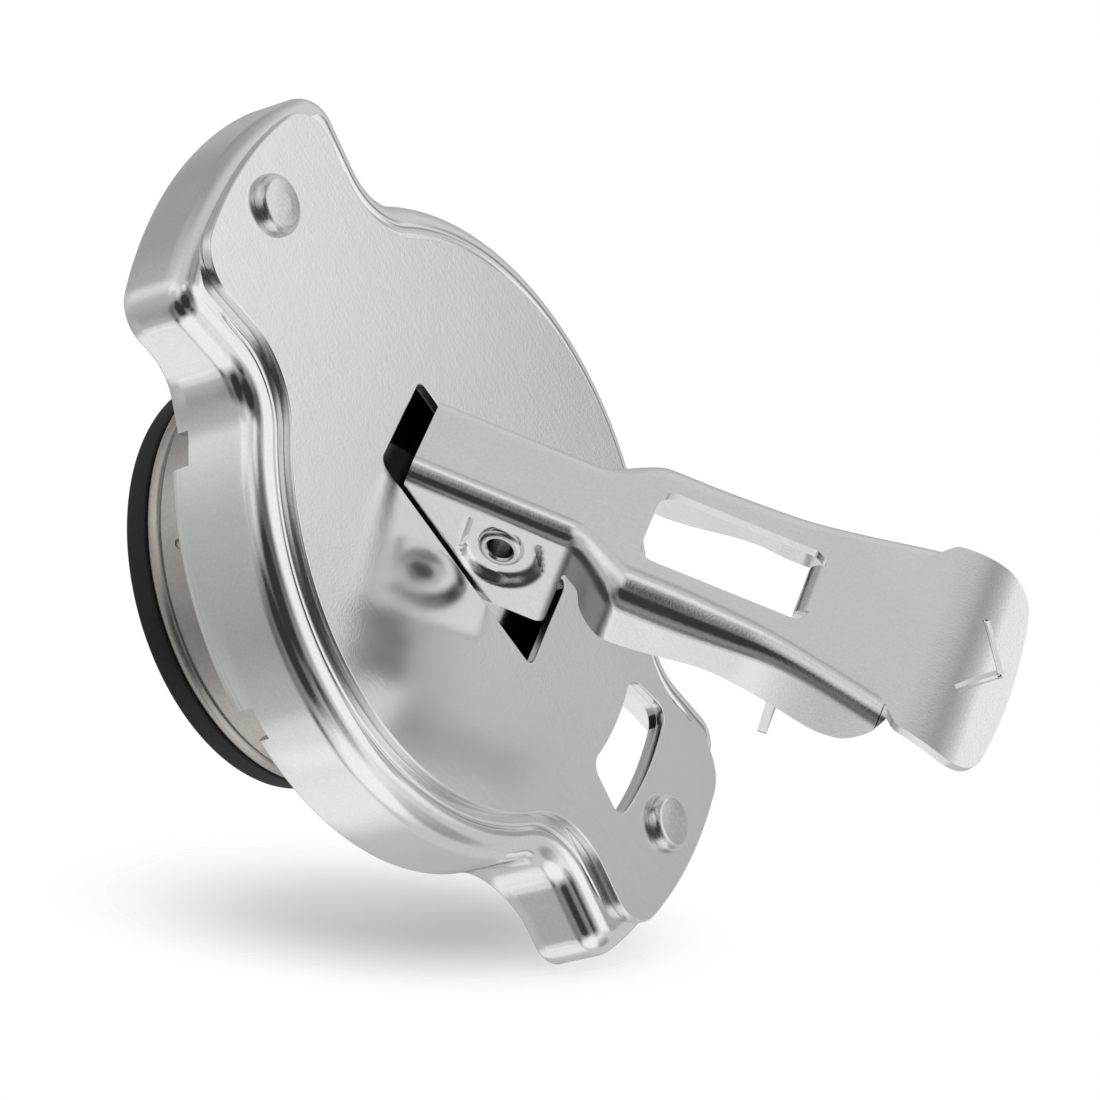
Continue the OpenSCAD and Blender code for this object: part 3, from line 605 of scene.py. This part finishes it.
# Pull stem, stirrup and washer
# Turned stem with a flat eye for the lever's pin, riveted over a washer into a hat-shaped stirrup that
# is welded to the floor of the valve cup. The machined shapes come from the model.
STEM_EDGE = 0.12
for node in ("pull_stem", "stirrup", "stem_washer"):
    wear(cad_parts[node], satin_steel)
    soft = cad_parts[node].modifiers.new("edges", "BEVEL")
    soft.width = STEM_EDGE * MM
    soft.segments = 2
    soft.limit_method = "ANGLE"
    soft.angle_limit = math.radians(50)
    soft.use_clamp_overlap = True


# Valve cup and pressure seal
# Drawn stainless cup with a rounded band next to the seal and four staking dimples, and a thick black
# rubber ring that closes the throat of the neck. Both are lifted as far as the raised lever lifts them.
LEVER_ANGLE = 43.0
CAM_RATE = 2.29
LIFT = CAM_RATE * math.radians(LEVER_ANGLE)
SEAL_Z = LIFT - 21.1
SEAL_THICK = 2.4
SEAL_HOLE = 8.2
SEAL_EDGE = 0.35
CUP_R = 20.8
CUP_WALL = 20.6
CUP_HIGH = 6.4
CUP_BAND = 1.8
CUP_ROLL = 0.15
CUP_BORE = 1.46
CUP_EDGE = 0.16
AIR_HOLE_R = 0.9
AIR_HOLE_AT = 4.6
DIMPLE_R = 0.8
DIMPLE_OUT = 0.4
# Warm grey stainless, with both tones darkened as painted shade of the skirt that hangs over the cup
CUP_STEEL_AND_SHADE = ((0.54, 0.52, 0.49), (0.45, 0.435, 0.41))
cup_low = SEAL_Z + SEAL_THICK
cup_floor = cup_low + SHEET
cup_top = cup_low + CUP_HIGH
roll = CUP_BAND / 2
cup = turned_piece("cup", [
    (CUP_BORE, cup_low), *arc((CUP_R + CUP_ROLL - roll, cup_low + roll), roll, -90, 90, 14),
    (CUP_WALL + 0.02, cup_low + CUP_BAND), (CUP_WALL, cup_low + CUP_BAND + 0.2), (CUP_WALL, cup_top),
    (CUP_WALL - SHEET, cup_top), (CUP_WALL - SHEET, cup_floor), (CUP_BORE, cup_floor)], CUP_EDGE, steps=200)
for way in range(0, 360, 60):
    hole = arc(polar(AIR_HOLE_AT, way), AIR_HOLE_R, 0, 360, 28)[:-1]
    join_solid(cup, prism("air_hole", hole, cup_low - 1, cup_floor + 1), "DIFFERENCE")
for way in range(45, 360, 90):
    dimple = (*polar(CUP_WALL + DIMPLE_OUT, way), cup_low + (CUP_BAND + CUP_HIGH) / 2)
    bpy.ops.mesh.primitive_uv_sphere_add(segments=24, ring_count=16, radius=DIMPLE_R * MM)
    ball = bpy.context.object
    ball.location = Vector(dimple) * MM
    bpy.context.view_layer.update()
    join_solid(cup, ball, "DIFFERENCE")
# The cup's finish holds painted shade from the skirt in its darkened colour
wear(cup, steel_finish("cup_stainless_shaded", *CUP_STEEL_AND_SHADE, gloss=0.3))
seal = turned_piece("seal", oblong(SEAL_HOLE, CUP_R, SEAL_Z, cup_low), SEAL_EDGE, steps=200)
wear(seal, rubber)
for piece, node, slot in ((cup, "valve_cup", "valve_steel"), (seal, "pressure_seal", "rubber")):
    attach(piece, "valve")
    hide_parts(node)


# Pressure spring
# Round-wire coil with closed ends between the spring plate and the cup's floor. It shortens as the
# valve lifts.
SPRING_R = 10.8
SPRING_WIRE = 1.2
SPRING_TURNS = 4.75
WIRE_STEEL = ((0.62, 0.615, 0.60), (0.46, 0.455, 0.445))


def coil(name, radius, wire, turns, low, high):
    """Coil spring with closed ends, wound up from low to high with a round wire of the given radius."""
    t = np.linspace(0, turns, int(turns * 56) + 1)
    shut = 2.05 * wire
    travel = high - low - 2 * wire
    first = shut * t / 2
    last = travel - shut * (turns - t) / 2
    between = shut / 2 + (travel - shut) * (t - 1) / (turns - 2)
    rise = np.where(t < 1, first, np.where(t > turns - 1, last, between))
    section = arc((radius, low + wire), wire, 0, 360, 18)[:-1]
    return swept(name, [[(*polar(r, 360 * turn), z + up) for r, z in section] for turn, up in zip(t, rise)])


spring_steel = steel_finish("spring_wire", *WIRE_STEEL, gloss=0.24)
spring = coil("spring", SPRING_R, SPRING_WIRE, SPRING_TURNS, cup_floor, SPRING_PLATE_LOW)
wear(spring, spring_steel)
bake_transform(spring)
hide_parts("pressure_spring")


# Vacuum valve
# Pressed disc with a beaded flange that closes the hole in the seal, on a domed brass rivet. A light
# coil under a keeper washer inside the cup holds it shut.
DISC_R = 10.9
DISC_SHEET = 0.6
DISC_DOME = 3.5
DISC_FLAT = 6.6
DISC_FOOT = 8.9
DISC_BEAD = 0.35
DISC_EDGE = 0.75
PIN_SHANK = 1.4
PIN_EDGE = 0.06
PIN_HEAD = 0.4
CROWN_R = 1.8
CROWN_HIGH = 0.8
KEEPER_R = 3.2
KEEPER_SHEET = 0.6
KEEPER_EDGE = 0.1
COIL_R = 2.3
COIL_WIRE = 0.3
COIL_TURNS = 4
COIL_HIGH = 2.8
PALE_BRASS = ((0.78, 0.70, 0.50), (0.88, 0.82, 0.64))
disc_low = SEAL_Z - DISC_DOME
coil_top = cup_floor + COIL_HIGH
keeper_top = coil_top + KEEPER_SHEET
disc = turned_piece("vacuum_plate", [
    (DISC_R, SEAL_Z), (DISC_R, SEAL_Z - DISC_SHEET),
    *arc((DISC_R - 2 * DISC_BEAD, SEAL_Z - DISC_SHEET), DISC_BEAD, 0, -180, 8),
    (DISC_FOOT, SEAL_Z - DISC_SHEET), (DISC_FLAT + 0.35, disc_low), (PIN_SHANK, disc_low),
    (PIN_SHANK, disc_low + DISC_SHEET), (DISC_FLAT - 0.05, disc_low + DISC_SHEET),
    (DISC_FOOT - 0.4, SEAL_Z)], DISC_EDGE)
wear(disc, satin_steel)
crown_round = (CROWN_R ** 2 + CROWN_HIGH ** 2) / (2 * CROWN_HIGH)
crown = [(r, disc_low - CROWN_HIGH + crown_round - math.sqrt(crown_round ** 2 - r ** 2))
         for r in np.linspace(CROWN_R, 0, 9)]
brass_rivet = turned_piece("vacuum_pin", [
    (0, keeper_top + PIN_HEAD), (PIN_SHANK + PIN_HEAD, keeper_top + PIN_HEAD),
    (PIN_SHANK + PIN_HEAD, keeper_top), (PIN_SHANK, keeper_top), (PIN_SHANK, disc_low), *crown],
    PIN_EDGE, steps=72)
material, tree, surface = finish("pale_brass")
cloud = tree.noise(tree.node("ShaderNodeTexCoord", out="Object"), 900.0, 4.0)
cloud.swell(0.3, 0.7).mix(*PALE_BRASS).feed(surface.inputs["Base Color"])
(0.2 + 0.15 * cloud).feed(surface.inputs["Roughness"])
surface.inputs["Metallic"].default_value = 1.0
wear(brass_rivet, material)
keeper_section = oblong(PIN_SHANK, KEEPER_R, coil_top, keeper_top)
keeper = turned_piece("vacuum_washer", keeper_section, KEEPER_EDGE, steps=72)
wear(keeper, satin_steel)
for piece, node in ((disc, "vacuum_disc"), (brass_rivet, "vacuum_rivet"), (keeper, "vacuum_keeper")):
    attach(piece, "vacuum")
    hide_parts(node)
light_coil = coil("vacuum_coil", COIL_R, COIL_WIRE, COIL_TURNS, cup_floor, coil_top)
wear(light_coil, spring_steel)
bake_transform(light_coil)
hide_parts("vacuum_spring")


# Vent lever
# One stamping in zinc plated sheet: a channel whose side walls end in cams that stand on the recess floor,
# a dish round the pin, a window with a tongue bent down from its end, and a finger paddle bent down at its
# tip. Sizes are from the pin: x along the lever, y across it and z square to its top.
LEVER_SHEET = 0.9
WEB = 5.9
NECK_HALF = 5.5
WIDE_HALF = 9.4
PADDLE_HALF = 13.1
WIDEN = (5.6, 6.8)
FLARE = (24.5, 22.0)
FOLD = 2.2
FOLD_WIDE = 3.3
FOLD_OPENS = (6.0, 6.0)
FOLD_CLOSES = (16.0, 16.0)
FOOT_DROP = 7.0
FOOT_FRONT = 6.3
FOOT_ROUND = 1.0
FOOT_LEAN = 0.1
FLANGE_END = 38.9
FLANGE_RUN_OUT = 1.4
FLANGE_LINE = np.array([
    (FOOT_FRONT, FOOT_ROUND - FOOT_DROP), (FOOT_FRONT + FOOT_LEAN, 0.1), (7.3, 0.5), (8.3, 0.4),
    (9.1, -0.9), (10.7, -1.5), (13, -1.65), (16, -1.35), (21.8, -0.3), (26, -0.6), (30.3, -0.9),
    (33.5, -0.9), (35.5, -0.3), (36.8, 0.5), (38.1, 2.1), (FLANGE_END, WEB - FOLD - 0.2)])
PIN_R = 1.7
DISH_R = 3.4
DISH_TOP = 2.4
DISH_DEEP = 0.8
DISH_SLOPE = 0.8
LEVER_CREASE = 25
LEVER_ZINC = ((0.87, 0.87, 0.865), (0.79, 0.795, 0.80))


def half_at(x):
    """Half the lever's width at a distance from the pin."""
    return (NECK_HALF + (WIDE_HALF - NECK_HALF) * climb(x, *WIDEN)
            + (PADDLE_HALF - WIDE_HALF) * climb(x, *FLARE))


def fold_at(x):
    """Radius of the fold between web and wall, widest next to the window."""
    return FOLD + (FOLD_WIDE - FOLD) * climb(x, *FOLD_OPENS) * (1 - climb(x, *FOLD_CLOSES))


def cam(turn):
    """Point of the involute cam that touches the floor when the lever has turned so far."""
    drop = FOOT_DROP + CAM_RATE * turn
    return (-drop * math.sin(turn) - CAM_RATE * math.cos(turn),
            -drop * math.cos(turn) + CAM_RATE * math.sin(turn))


def smooth_line(points, count):
    """Smooth line through points, from the second on."""
    made = []
    for i in range(1, len(points) - 1):
        a, b, c, d = points[i - 1], points[i], points[i + 1], points[min(i + 2, len(points) - 1)]
        for t in np.linspace(0, 1, count, endpoint=False):
            bow = 2 * a - 5 * b + 4 * c - d + t * (3 * b - a - 3 * c + d)
            made.append(b + 0.5 * t * (c - a + t * bow))
    return made + [points[-1]]


# Lower edge of the wall from the cam's heel to the flange's end, where it climbs round the fold
foot_line = [cam(t) for t in np.radians(np.linspace(90, 0, 46))]
foot_line += [(x, -FOOT_DROP) for x in np.linspace(-CAM_RATE, FOOT_FRONT - FOOT_ROUND, 29)[1:-1]]
foot_line += list(arc((FOOT_FRONT - FOOT_ROUND, FOOT_ROUND - FOOT_DROP), FOOT_ROUND, -90, 0, 8))
foot_line += [FLANGE_LINE[0] + (FOOT_LEAN * s, (FOOT_DROP - 0.9) * s) for s in (0.25, 0.5, 0.75)]
foot_line += smooth_line(FLANGE_LINE, 9)
foot_line += [(FLANGE_END + FLANGE_RUN_OUT * t / 90, WEB - FOLD + polar(FOLD, t)[1])
              for t in range(6, 84, 6)]


def dish_depth(x, z):
    """Depth of the dish round the pin in the lever's wall: round below, straight along the fold."""
    below = climb(-np.degrees(np.arctan2(np.minimum(z, 0), -x)), 0, 90)
    slope = DISH_SLOPE * np.where(x < 0, 0.6 + below, 1.6)
    round_part = (DISH_R - np.hypot(x, z)) / slope
    front = DISH_R * (1 - 0.12 * z / DISH_TOP)
    ahead = (front - x) / (DISH_SLOPE * (1.6 - 0.6 * np.clip(z / DISH_TOP, 0, 1)))
    straight = np.minimum(np.minimum(x + DISH_R, DISH_TOP - z) / (0.6 * DISH_SLOPE), ahead)
    return DISH_DEEP * climb(np.where(z < 0, round_part, straight), -1, 1)


def channel_row(x, foot):
    """One cut through the lever: outside of the sheet from foot to foot, then back along its inside."""
    half = float(half_at(x))
    lean = float(half_at(x + 0.01) - half_at(x - 0.01)) / 0.02
    inner_half = half - LEVER_SHEET * math.sqrt(1 + lean * lean)
    fold = float(fold_at(x))
    small = fold - LEVER_SHEET
    start = math.degrees(math.asin(max(0.0, (foot - WEB + fold) / fold)))
    steps = 50 if start else 10
    wall = np.array([]) if start else np.linspace(foot, WEB - fold, 41)[:-1]
    dish = dish_depth(x, wall)
    across = (0.75, 0.5, 0.25, 0)
    outer = [*zip(half - dish, wall), *arc((half - fold, WEB - fold), fold, start, 90, steps)]
    outer += [((half - fold) * s, WEB) for s in across]
    inner = [*zip(inner_half - dish, wall), *arc((inner_half - small, WEB - fold), small, start, 90, steps)]
    inner += [((inner_half - small) * s, WEB - LEVER_SHEET) for s in across]
    whole = outer + [(-y, z) for y, z in outer[-2::-1]] + [(-y, z) for y, z in inner] + inner[-2::-1]
    return [(x, y, z) for y, z in whole]


rows = [channel_row(x, z) for x, z in foot_line]
n = len(rows[0])
faces = wrap_faces(len(rows), n)
for k in (0, (len(rows) - 1) * n):
    faces += [(k + i, k + i + 1, k + n - 2 - i, k + n - 1 - i) for i in range(n // 2 - 1)]
lever = solid("vent_lever", np.concatenate(rows), faces)


def sheet_strip(name, line, halves, normals, across):
    """Strip of the lever's sheet along a bent line, of changing half width, with its top on the line."""
    count = len(line)
    points = []
    for drop in (0, LEVER_SHEET):
        for (x, z), half, (nx, nz) in zip(line, halves, normals):
            points += [(x - drop * nx, half * s, z - drop * nz) for s in np.linspace(-1, 1, across)]
    size = count * across
    faces = []
    for j in range(count - 1):
        for k in range(j * across, (j + 1) * across - 1):
            faces.append((k, k + 1, k + across + 1, k + across))
            faces.append((size + k, size + k + across, size + k + across + 1, size + k + 1))
        for k in (j * across, (j + 1) * across - 1):
            faces.append((k, k + across, size + k + across, size + k))
    for j in (0, count - 1):
        faces += [(k, k + 1, size + k + 1, size + k) for k in range(j * across, (j + 1) * across - 1)]
    return solid(name, points, faces)


# Finger paddle: its sides leave the fold in a soft curve, its end is bowed and its tip bends down
TIP_BEND_FROM = 40.6
TIP_BEND_R = 14.0
TIP_BEND = 28.0
TIP_REACH = 50.1
TIP_ROUND = 3.6
TIP_BOW = 70.0
PADDLE_FROM = FLANGE_END - 1
PADDLE_SPREAD = 3.0


def tip_top(x):
    """Height and slope of the paddle's top at a distance along the lever."""
    slant = math.radians(TIP_BEND)
    past = x - TIP_BEND_FROM
    bend_long = TIP_BEND_R * math.sin(slant)
    if past <= 0:
        return WEB, 0.0
    if past < bend_long:
        t = math.asin(past / TIP_BEND_R)
        return WEB - TIP_BEND_R + TIP_BEND_R * math.cos(t), t
    return WEB - TIP_BEND_R + TIP_BEND_R * math.cos(slant) - (past - bend_long) * math.tan(slant), slant


bow_x = TIP_REACH - TIP_BOW
corner_y = PADDLE_HALF - TIP_ROUND
corner = np.array([bow_x + math.sqrt((TIP_BOW - TIP_ROUND) ** 2 - corner_y ** 2), corner_y])
corner_turn = heading(corner - (bow_x, 0))
side_x = np.linspace(PADDLE_FROM, corner[0] - 0.2, 32)
side_y = half_at(side_x) - FOLD * (1 - climb(side_x, PADDLE_FROM, PADDLE_SPREAD))
paddle_edge = np.concatenate([
    np.column_stack([side_x, side_y]), arc(corner, TIP_ROUND, 90, corner_turn, 26),
    arc((bow_x, 0), TIP_BOW, corner_turn, 0.02, 12)[1:]])
tops = [tip_top(x) for x in paddle_edge[:, 0]]
paddle_line = [(x, z) for x, (z, _) in zip(paddle_edge[:, 0], tops)]
paddle_facing = [(math.sin(slope), math.cos(slope)) for _, slope in tops]
paddle = sheet_strip("paddle", paddle_line, paddle_edge[:, 1], paddle_facing, 25)
join_solid(lever, paddle, "UNION")

# Window, bores for the pin, and the tongue that is bent down out of the window
TONGUE_AT = 28.0
TONGUE_BEND = 1.3
TONGUE_LEAN = 4.5
TONGUE_DROP = 13.0
TONGUE_ROUND = 1.2
TONGUE_ROOT = 0.8
WINDOW_FROM = 12.3
WINDOW_TO = TONGUE_AT + TONGUE_BEND
WINDOW_HALF = 4.75
WINDOW_ROUND = 1.6
WINDOW_CUT = (2.0, 9.0)
TONGUE_HALF = WINDOW_HALF - WINDOW_ROUND
window = rounded_box(WINDOW_TO - WINDOW_FROM, 2 * WINDOW_HALF, WINDOW_ROUND)
window += ((WINDOW_FROM + WINDOW_TO) / 2, 0)
join_solid(lever, prism("window", window, *WINDOW_CUT), "DIFFERENCE")
crosswise = (math.pi / 2, 0, 0)
bpy.ops.mesh.primitive_cylinder_add(vertices=48, radius=PIN_R * MM, depth=40 * MM, rotation=crosswise)
join_solid(lever, bpy.context.object, "DIFFERENCE")
hub = np.array([WINDOW_TO, WEB - TONGUE_BEND])
down = polar(1, TONGUE_LEAN - 90)
line = [hub + (TONGUE_ROOT, TONGUE_BEND), *arc(hub, TONGUE_BEND, 90, 180 + TONGUE_LEAN, 13)]
facing = [(0, 1), *arc((0, 0), 1, 90, 180 + TONGUE_LEAN, 13)]
halves = [TONGUE_HALF] * len(line)
straight_from = line[-1]
straight = (straight_from[1] + TONGUE_DROP) / math.cos(math.radians(TONGUE_LEAN))
tongue_end = [(straight * s, TONGUE_HALF) for s in (0.3, 0.6)]
tongue_end += [(straight - TONGUE_ROUND + TONGUE_ROUND * math.sin(t),
                TONGUE_HALF - TONGUE_ROUND + TONGUE_ROUND * math.cos(t))
               for t in np.radians(np.linspace(0, 88, 10))]
for along, half in tongue_end:
    line.append(straight_from + along * down)
    facing.append(facing[-1])
    halves.append(half)
join_solid(lever, sheet_strip("tongue", line, halves, facing, 13), "UNION")

# Plain pointer pressed into the paddle's tip, a shallow groove with sloping sides
POINTER = np.array([(44.9, -4.6), (48.5, 1.0), (45.4, 5.5)])
POINTER_GROOVE = ((-0.9, 0.45), (-0.12, -0.28), (0.12, -0.28), (0.9, 0.45))
for start, stop in zip(POINTER[:-1], POINTER[1:]):
    along_x, along_y = (stop - start) / np.linalg.norm(stop - start)
    rings = [[(x - along_y * aside, y + along_x * aside, tip_top(x - along_y * aside)[0] + high)
              for aside, high in POINTER_GROOVE] for x, y in np.linspace(start, stop, 15)]
    join_solid(lever, swept("pointer", rings), "DIFFERENCE")
smooth(lever.data, LEVER_CREASE)

# The finished lever is set on its pin, turned in its slot and raised
PIN_Z = RECESS_Z + FOOT_DROP + LIFT
raised = (Matrix.Translation((0, 0, PIN_Z * MM)) @ Matrix.Rotation(math.radians(LEVER_TURN), 4, "Z")
          @ Matrix.Rotation(math.radians(-LEVER_ANGLE), 4, "Y"))
lever.data.transform(raised)
wear(lever, zinc_finish("lever_zinc", *LEVER_ZINC, gloss=0.13, spread=0.1, relief=0.012, lines=0.35))
level_out(lever)
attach(lever, "lever")
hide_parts("lever")


# Pivot pin
# Hollow steel pin through the lever's walls and the stem's eye, zinc plated and rolled over at both ends.
PIN_BORE = 1.25
PIN_FLARE = 2.3
PIN_LIP = 0.6
PIN_LIP_EDGE = 0.05
seat = NECK_HALF - DISH_DEEP
half_pin = [(PIN_R, seat), *arc((PIN_FLARE - PIN_LIP, seat), PIN_LIP, 0, 90, 6),
            (PIN_BORE + 0.2, seat + PIN_LIP), (PIN_BORE, seat + PIN_LIP - 0.25)]
pin_section = half_pin + [(r, -z) for r, z in half_pin[::-1]]
pin = turned_piece("lever_pin", pin_section, PIN_LIP_EDGE, steps=72)
pin.data.transform(raised @ Matrix.Rotation(math.pi / 2, 4, "X"))
wear(pin, rivet_zinc)
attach(pin, "lever")
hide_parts("pivot_pin")


# Camera, floor and light
# The cap stands on one ear on a pale floor, so the floor is square to the picture's upright and not to
# the cap. The floor fades out round the cap's shadow, and is seen only from above.
EYE = Vector((-0.201725, -0.366530, 0.287761))
RIGHT = Vector((0.48445522, 0.33350311, 0.80875139))
UP = Vector((-0.77223233, 0.59741433, 0.21622522))
BACK = Vector((-0.41104789, -0.72929541, 0.54696237))
lens = bpy.data.cameras.new("camera")
lens.lens = 171.62
lens.sensor_width = 36.0
lens.clip_start = 0.01
lens.clip_end = 20.0
camera = set_out("camera", lens)
camera.matrix_world = Matrix.Translation(EYE) @ Matrix((RIGHT, UP, BACK)).transposed().to_4x4()
bpy.context.scene.camera = camera

FLOOR_TILT = math.radians(13.0)
FLOOR_SIZE = 1.6
FLOOR_GAP = 0.0005
FLOOR_WHITE = (0.93, 0.93, 0.93, 1)
SHADOW_AT = (-0.0045, 0.0165, 0)
SHADOW_TURN = (0, 0, math.radians(-30.5))
SHADOW_REACH = (0.042, 0.027, 1)
upright = (UP * math.cos(FLOOR_TILT) + BACK * math.sin(FLOOR_TILT)).normalized()
across = (RIGHT - upright * RIGHT.dot(upright)).normalized()
lowest = min(v.co @ upright for v in shell.data.vertices)
bpy.ops.mesh.primitive_plane_add(size=FLOOR_SIZE)
floor = bpy.context.object
floor.name = "floor"
floor.matrix_world = (Matrix.Translation(upright * (lowest - FLOOR_GAP))
                      @ Matrix((across, upright.cross(across), upright)).transposed().to_4x4())
floor.visible_glossy = False
material, tree, surface = finish("pale_floor")
place = tree.node("ShaderNodeTexCoord", out="Object")
spot = tree.node("ShaderNodeMapping", {"vector_type": "TEXTURE"}, {
    "Vector": place, "Location": SHADOW_AT, "Rotation": SHADOW_TURN, "Scale": SHADOW_REACH})
apart = tree.node("ShaderNodeVectorMath", {"operation": "LENGTH"}, {0: spot}, out="Value")
behind = tree.node("ShaderNodeNewGeometry", out="Backfacing")
gone = tree.maths("MAXIMUM", apart.swell(0.2, 1.0), behind)
surface.inputs["Base Color"].default_value = FLOOR_WHITE
surface.inputs["Roughness"].default_value = 0.9
surface.inputs["Specular IOR Level"].default_value = 0.1
shown = Shade(tree.tree, surface.outputs[0])
clear = tree.node("ShaderNodeBsdfTransparent")
faded = tree.node("ShaderNodeMixShader", None, {0: gone, 1: shown, 2: clear})
faded.feed(tree.tree.nodes["Material Output"].inputs[0])
wear(floor, material)

# One wide soft lamp overhead, which only the floor and the rubber show
light = bpy.data.lights.new("top_light", "AREA")
light.shape = "SQUARE"
light.size = 0.8
light.energy = 2.6
lamp = set_out("top_light", light)
lamp.location = upright * 0.75 + RIGHT * 0.35 + BACK * 0.1
lamp.rotation_mode = "QUATERNION"
lamp.rotation_quaternion = (-lamp.location).to_track_quat("-Z", "Y")
lamp.visible_camera = False
lamp.visible_glossy = False

# The studio round the cap: pale grey walls with soft boxes and dark cards. Each patch has its direction
# to the right, up and back of the picture, the half angle it covers, and how much it adds to the walls.
WALLS = 0.62
DARKEST = 0.03
BRIGHTEST = 1.0
ROOM_WHITE = (1.0, 0.996, 0.982, 1)
PLAIN_WHITE = (1, 1, 1, 1)
PLAIN_LIGHT = 0.95
PATCHES = (
    (0.96, 0.24, 0.17, 32, 0.49), (0.57, 0.16, 0.81, 42, -0.49), (0.15, -0.92, 0.37, 32, 0.48),
    (0.1, -0.26, 0.96, 42, -0.44), (0.87, 0.38, -0.32, 10, 0.42), (0.8, 0.29, -0.52, 10, -0.39),
    (0.67, -0.38, 0.63, 16, -0.38), (-0.35, -0.58, 0.73, 42, -0.36), (0.6, 0.75, 0.28, 18, -0.26),
    (-0.36, -0.89, -0.28, 22, 0.3), (0.75, -0.66, 0, 22, -0.27), (-0.48, -0.87, 0.07, 12, 0.26),
    (0.94, 0.09, -0.33, 10, -0.26), (0.66, -0.48, 0.58, 42, 0.26), (-0.38, 0.86, -0.35, 42, -0.26),
    (0.39, 0.72, -0.58, 42, 0.06), (-0.48, 0.27, 0.84, 16, -0.21), (-0.38, 0.44, 0.82, 32, 0.2),
    (0.78, 0.62, 0.05, 16, -0.18), (-0.37, -0.87, 0.33, 10, -0.17), (-0.67, 0.7, 0.27, 42, 0.17),
    (0.36, 0.86, 0.36, 10, -0.16), (-0.02, 0.27, -0.96, 42, -0.16), (0.76, 0.48, 0.45, 16, 0.16),
    (-0.86, -0.09, 0.5, 42, -0.14), (-0.39, 0.01, 0.92, 12, -0.13), (0.81, 0.58, -0.06, 12, -0.13),
    (-0.29, -0.36, -0.88, 42, -0.12), (-0.82, -0.28, -0.5, 42, -0.12), (0.3, -0.51, 0.8, 12, -0.12),
    (-0.36, -0.92, 0.13, 12, -0.1), (-0.78, -0.62, 0.12, 42, -0.09), (0.25, 0.6, 0.76, 12, 0.4))
world = bpy.data.worlds.new("studio")
bpy.context.scene.world = world
world.use_nodes = True
world.node_tree.nodes.clear()
tree = Shade(world.node_tree)
look = tree.node("ShaderNodeTexCoord", out="Generated")
level = WALLS
for right, up, back, reach, strength in PATCHES:
    middle = (RIGHT * right + UP * up + BACK * back).normalized()
    near = tree.node("ShaderNodeVectorMath", {"operation": "DOT_PRODUCT"}, {0: look, 1: middle}, out="Value")
    patch = near.swell(math.cos(math.radians(reach)), math.cos(math.radians(0.3 * reach)))
    level = level + strength * patch
level = tree.maths("MINIMUM", tree.maths("MAXIMUM", level, DARKEST), BRIGHTEST)

# Metal shows the studio, the picture's background is white, and the rest gets a plain even light
to_camera = tree.node("ShaderNodeLightPath", out="Is Camera Ray")
through_floor = tree.node("ShaderNodeLightPath", out="Is Transmission Ray")
seen = tree.maths("MAXIMUM", to_camera, through_floor)
shiny = tree.node("ShaderNodeLightPath", out="Is Glossy Ray")
white = tree.node("ShaderNodeBackground", None, {"Color": PLAIN_WHITE, "Strength": 1.0})
room = tree.node("ShaderNodeBackground", None, {"Color": ROOM_WHITE, "Strength": level})
plain = tree.node("ShaderNodeBackground", None, {"Color": PLAIN_WHITE, "Strength": PLAIN_LIGHT})
lit = tree.node("ShaderNodeMixShader", None, {0: shiny, 1: plain, 2: room})
whole = tree.node("ShaderNodeMixShader", None, {0: seen, 1: lit, 2: white})
whole.feed(world.node_tree.nodes.new("ShaderNodeOutputWorld").inputs[0])

bpy.context.scene.view_settings.view_transform = "Standard"
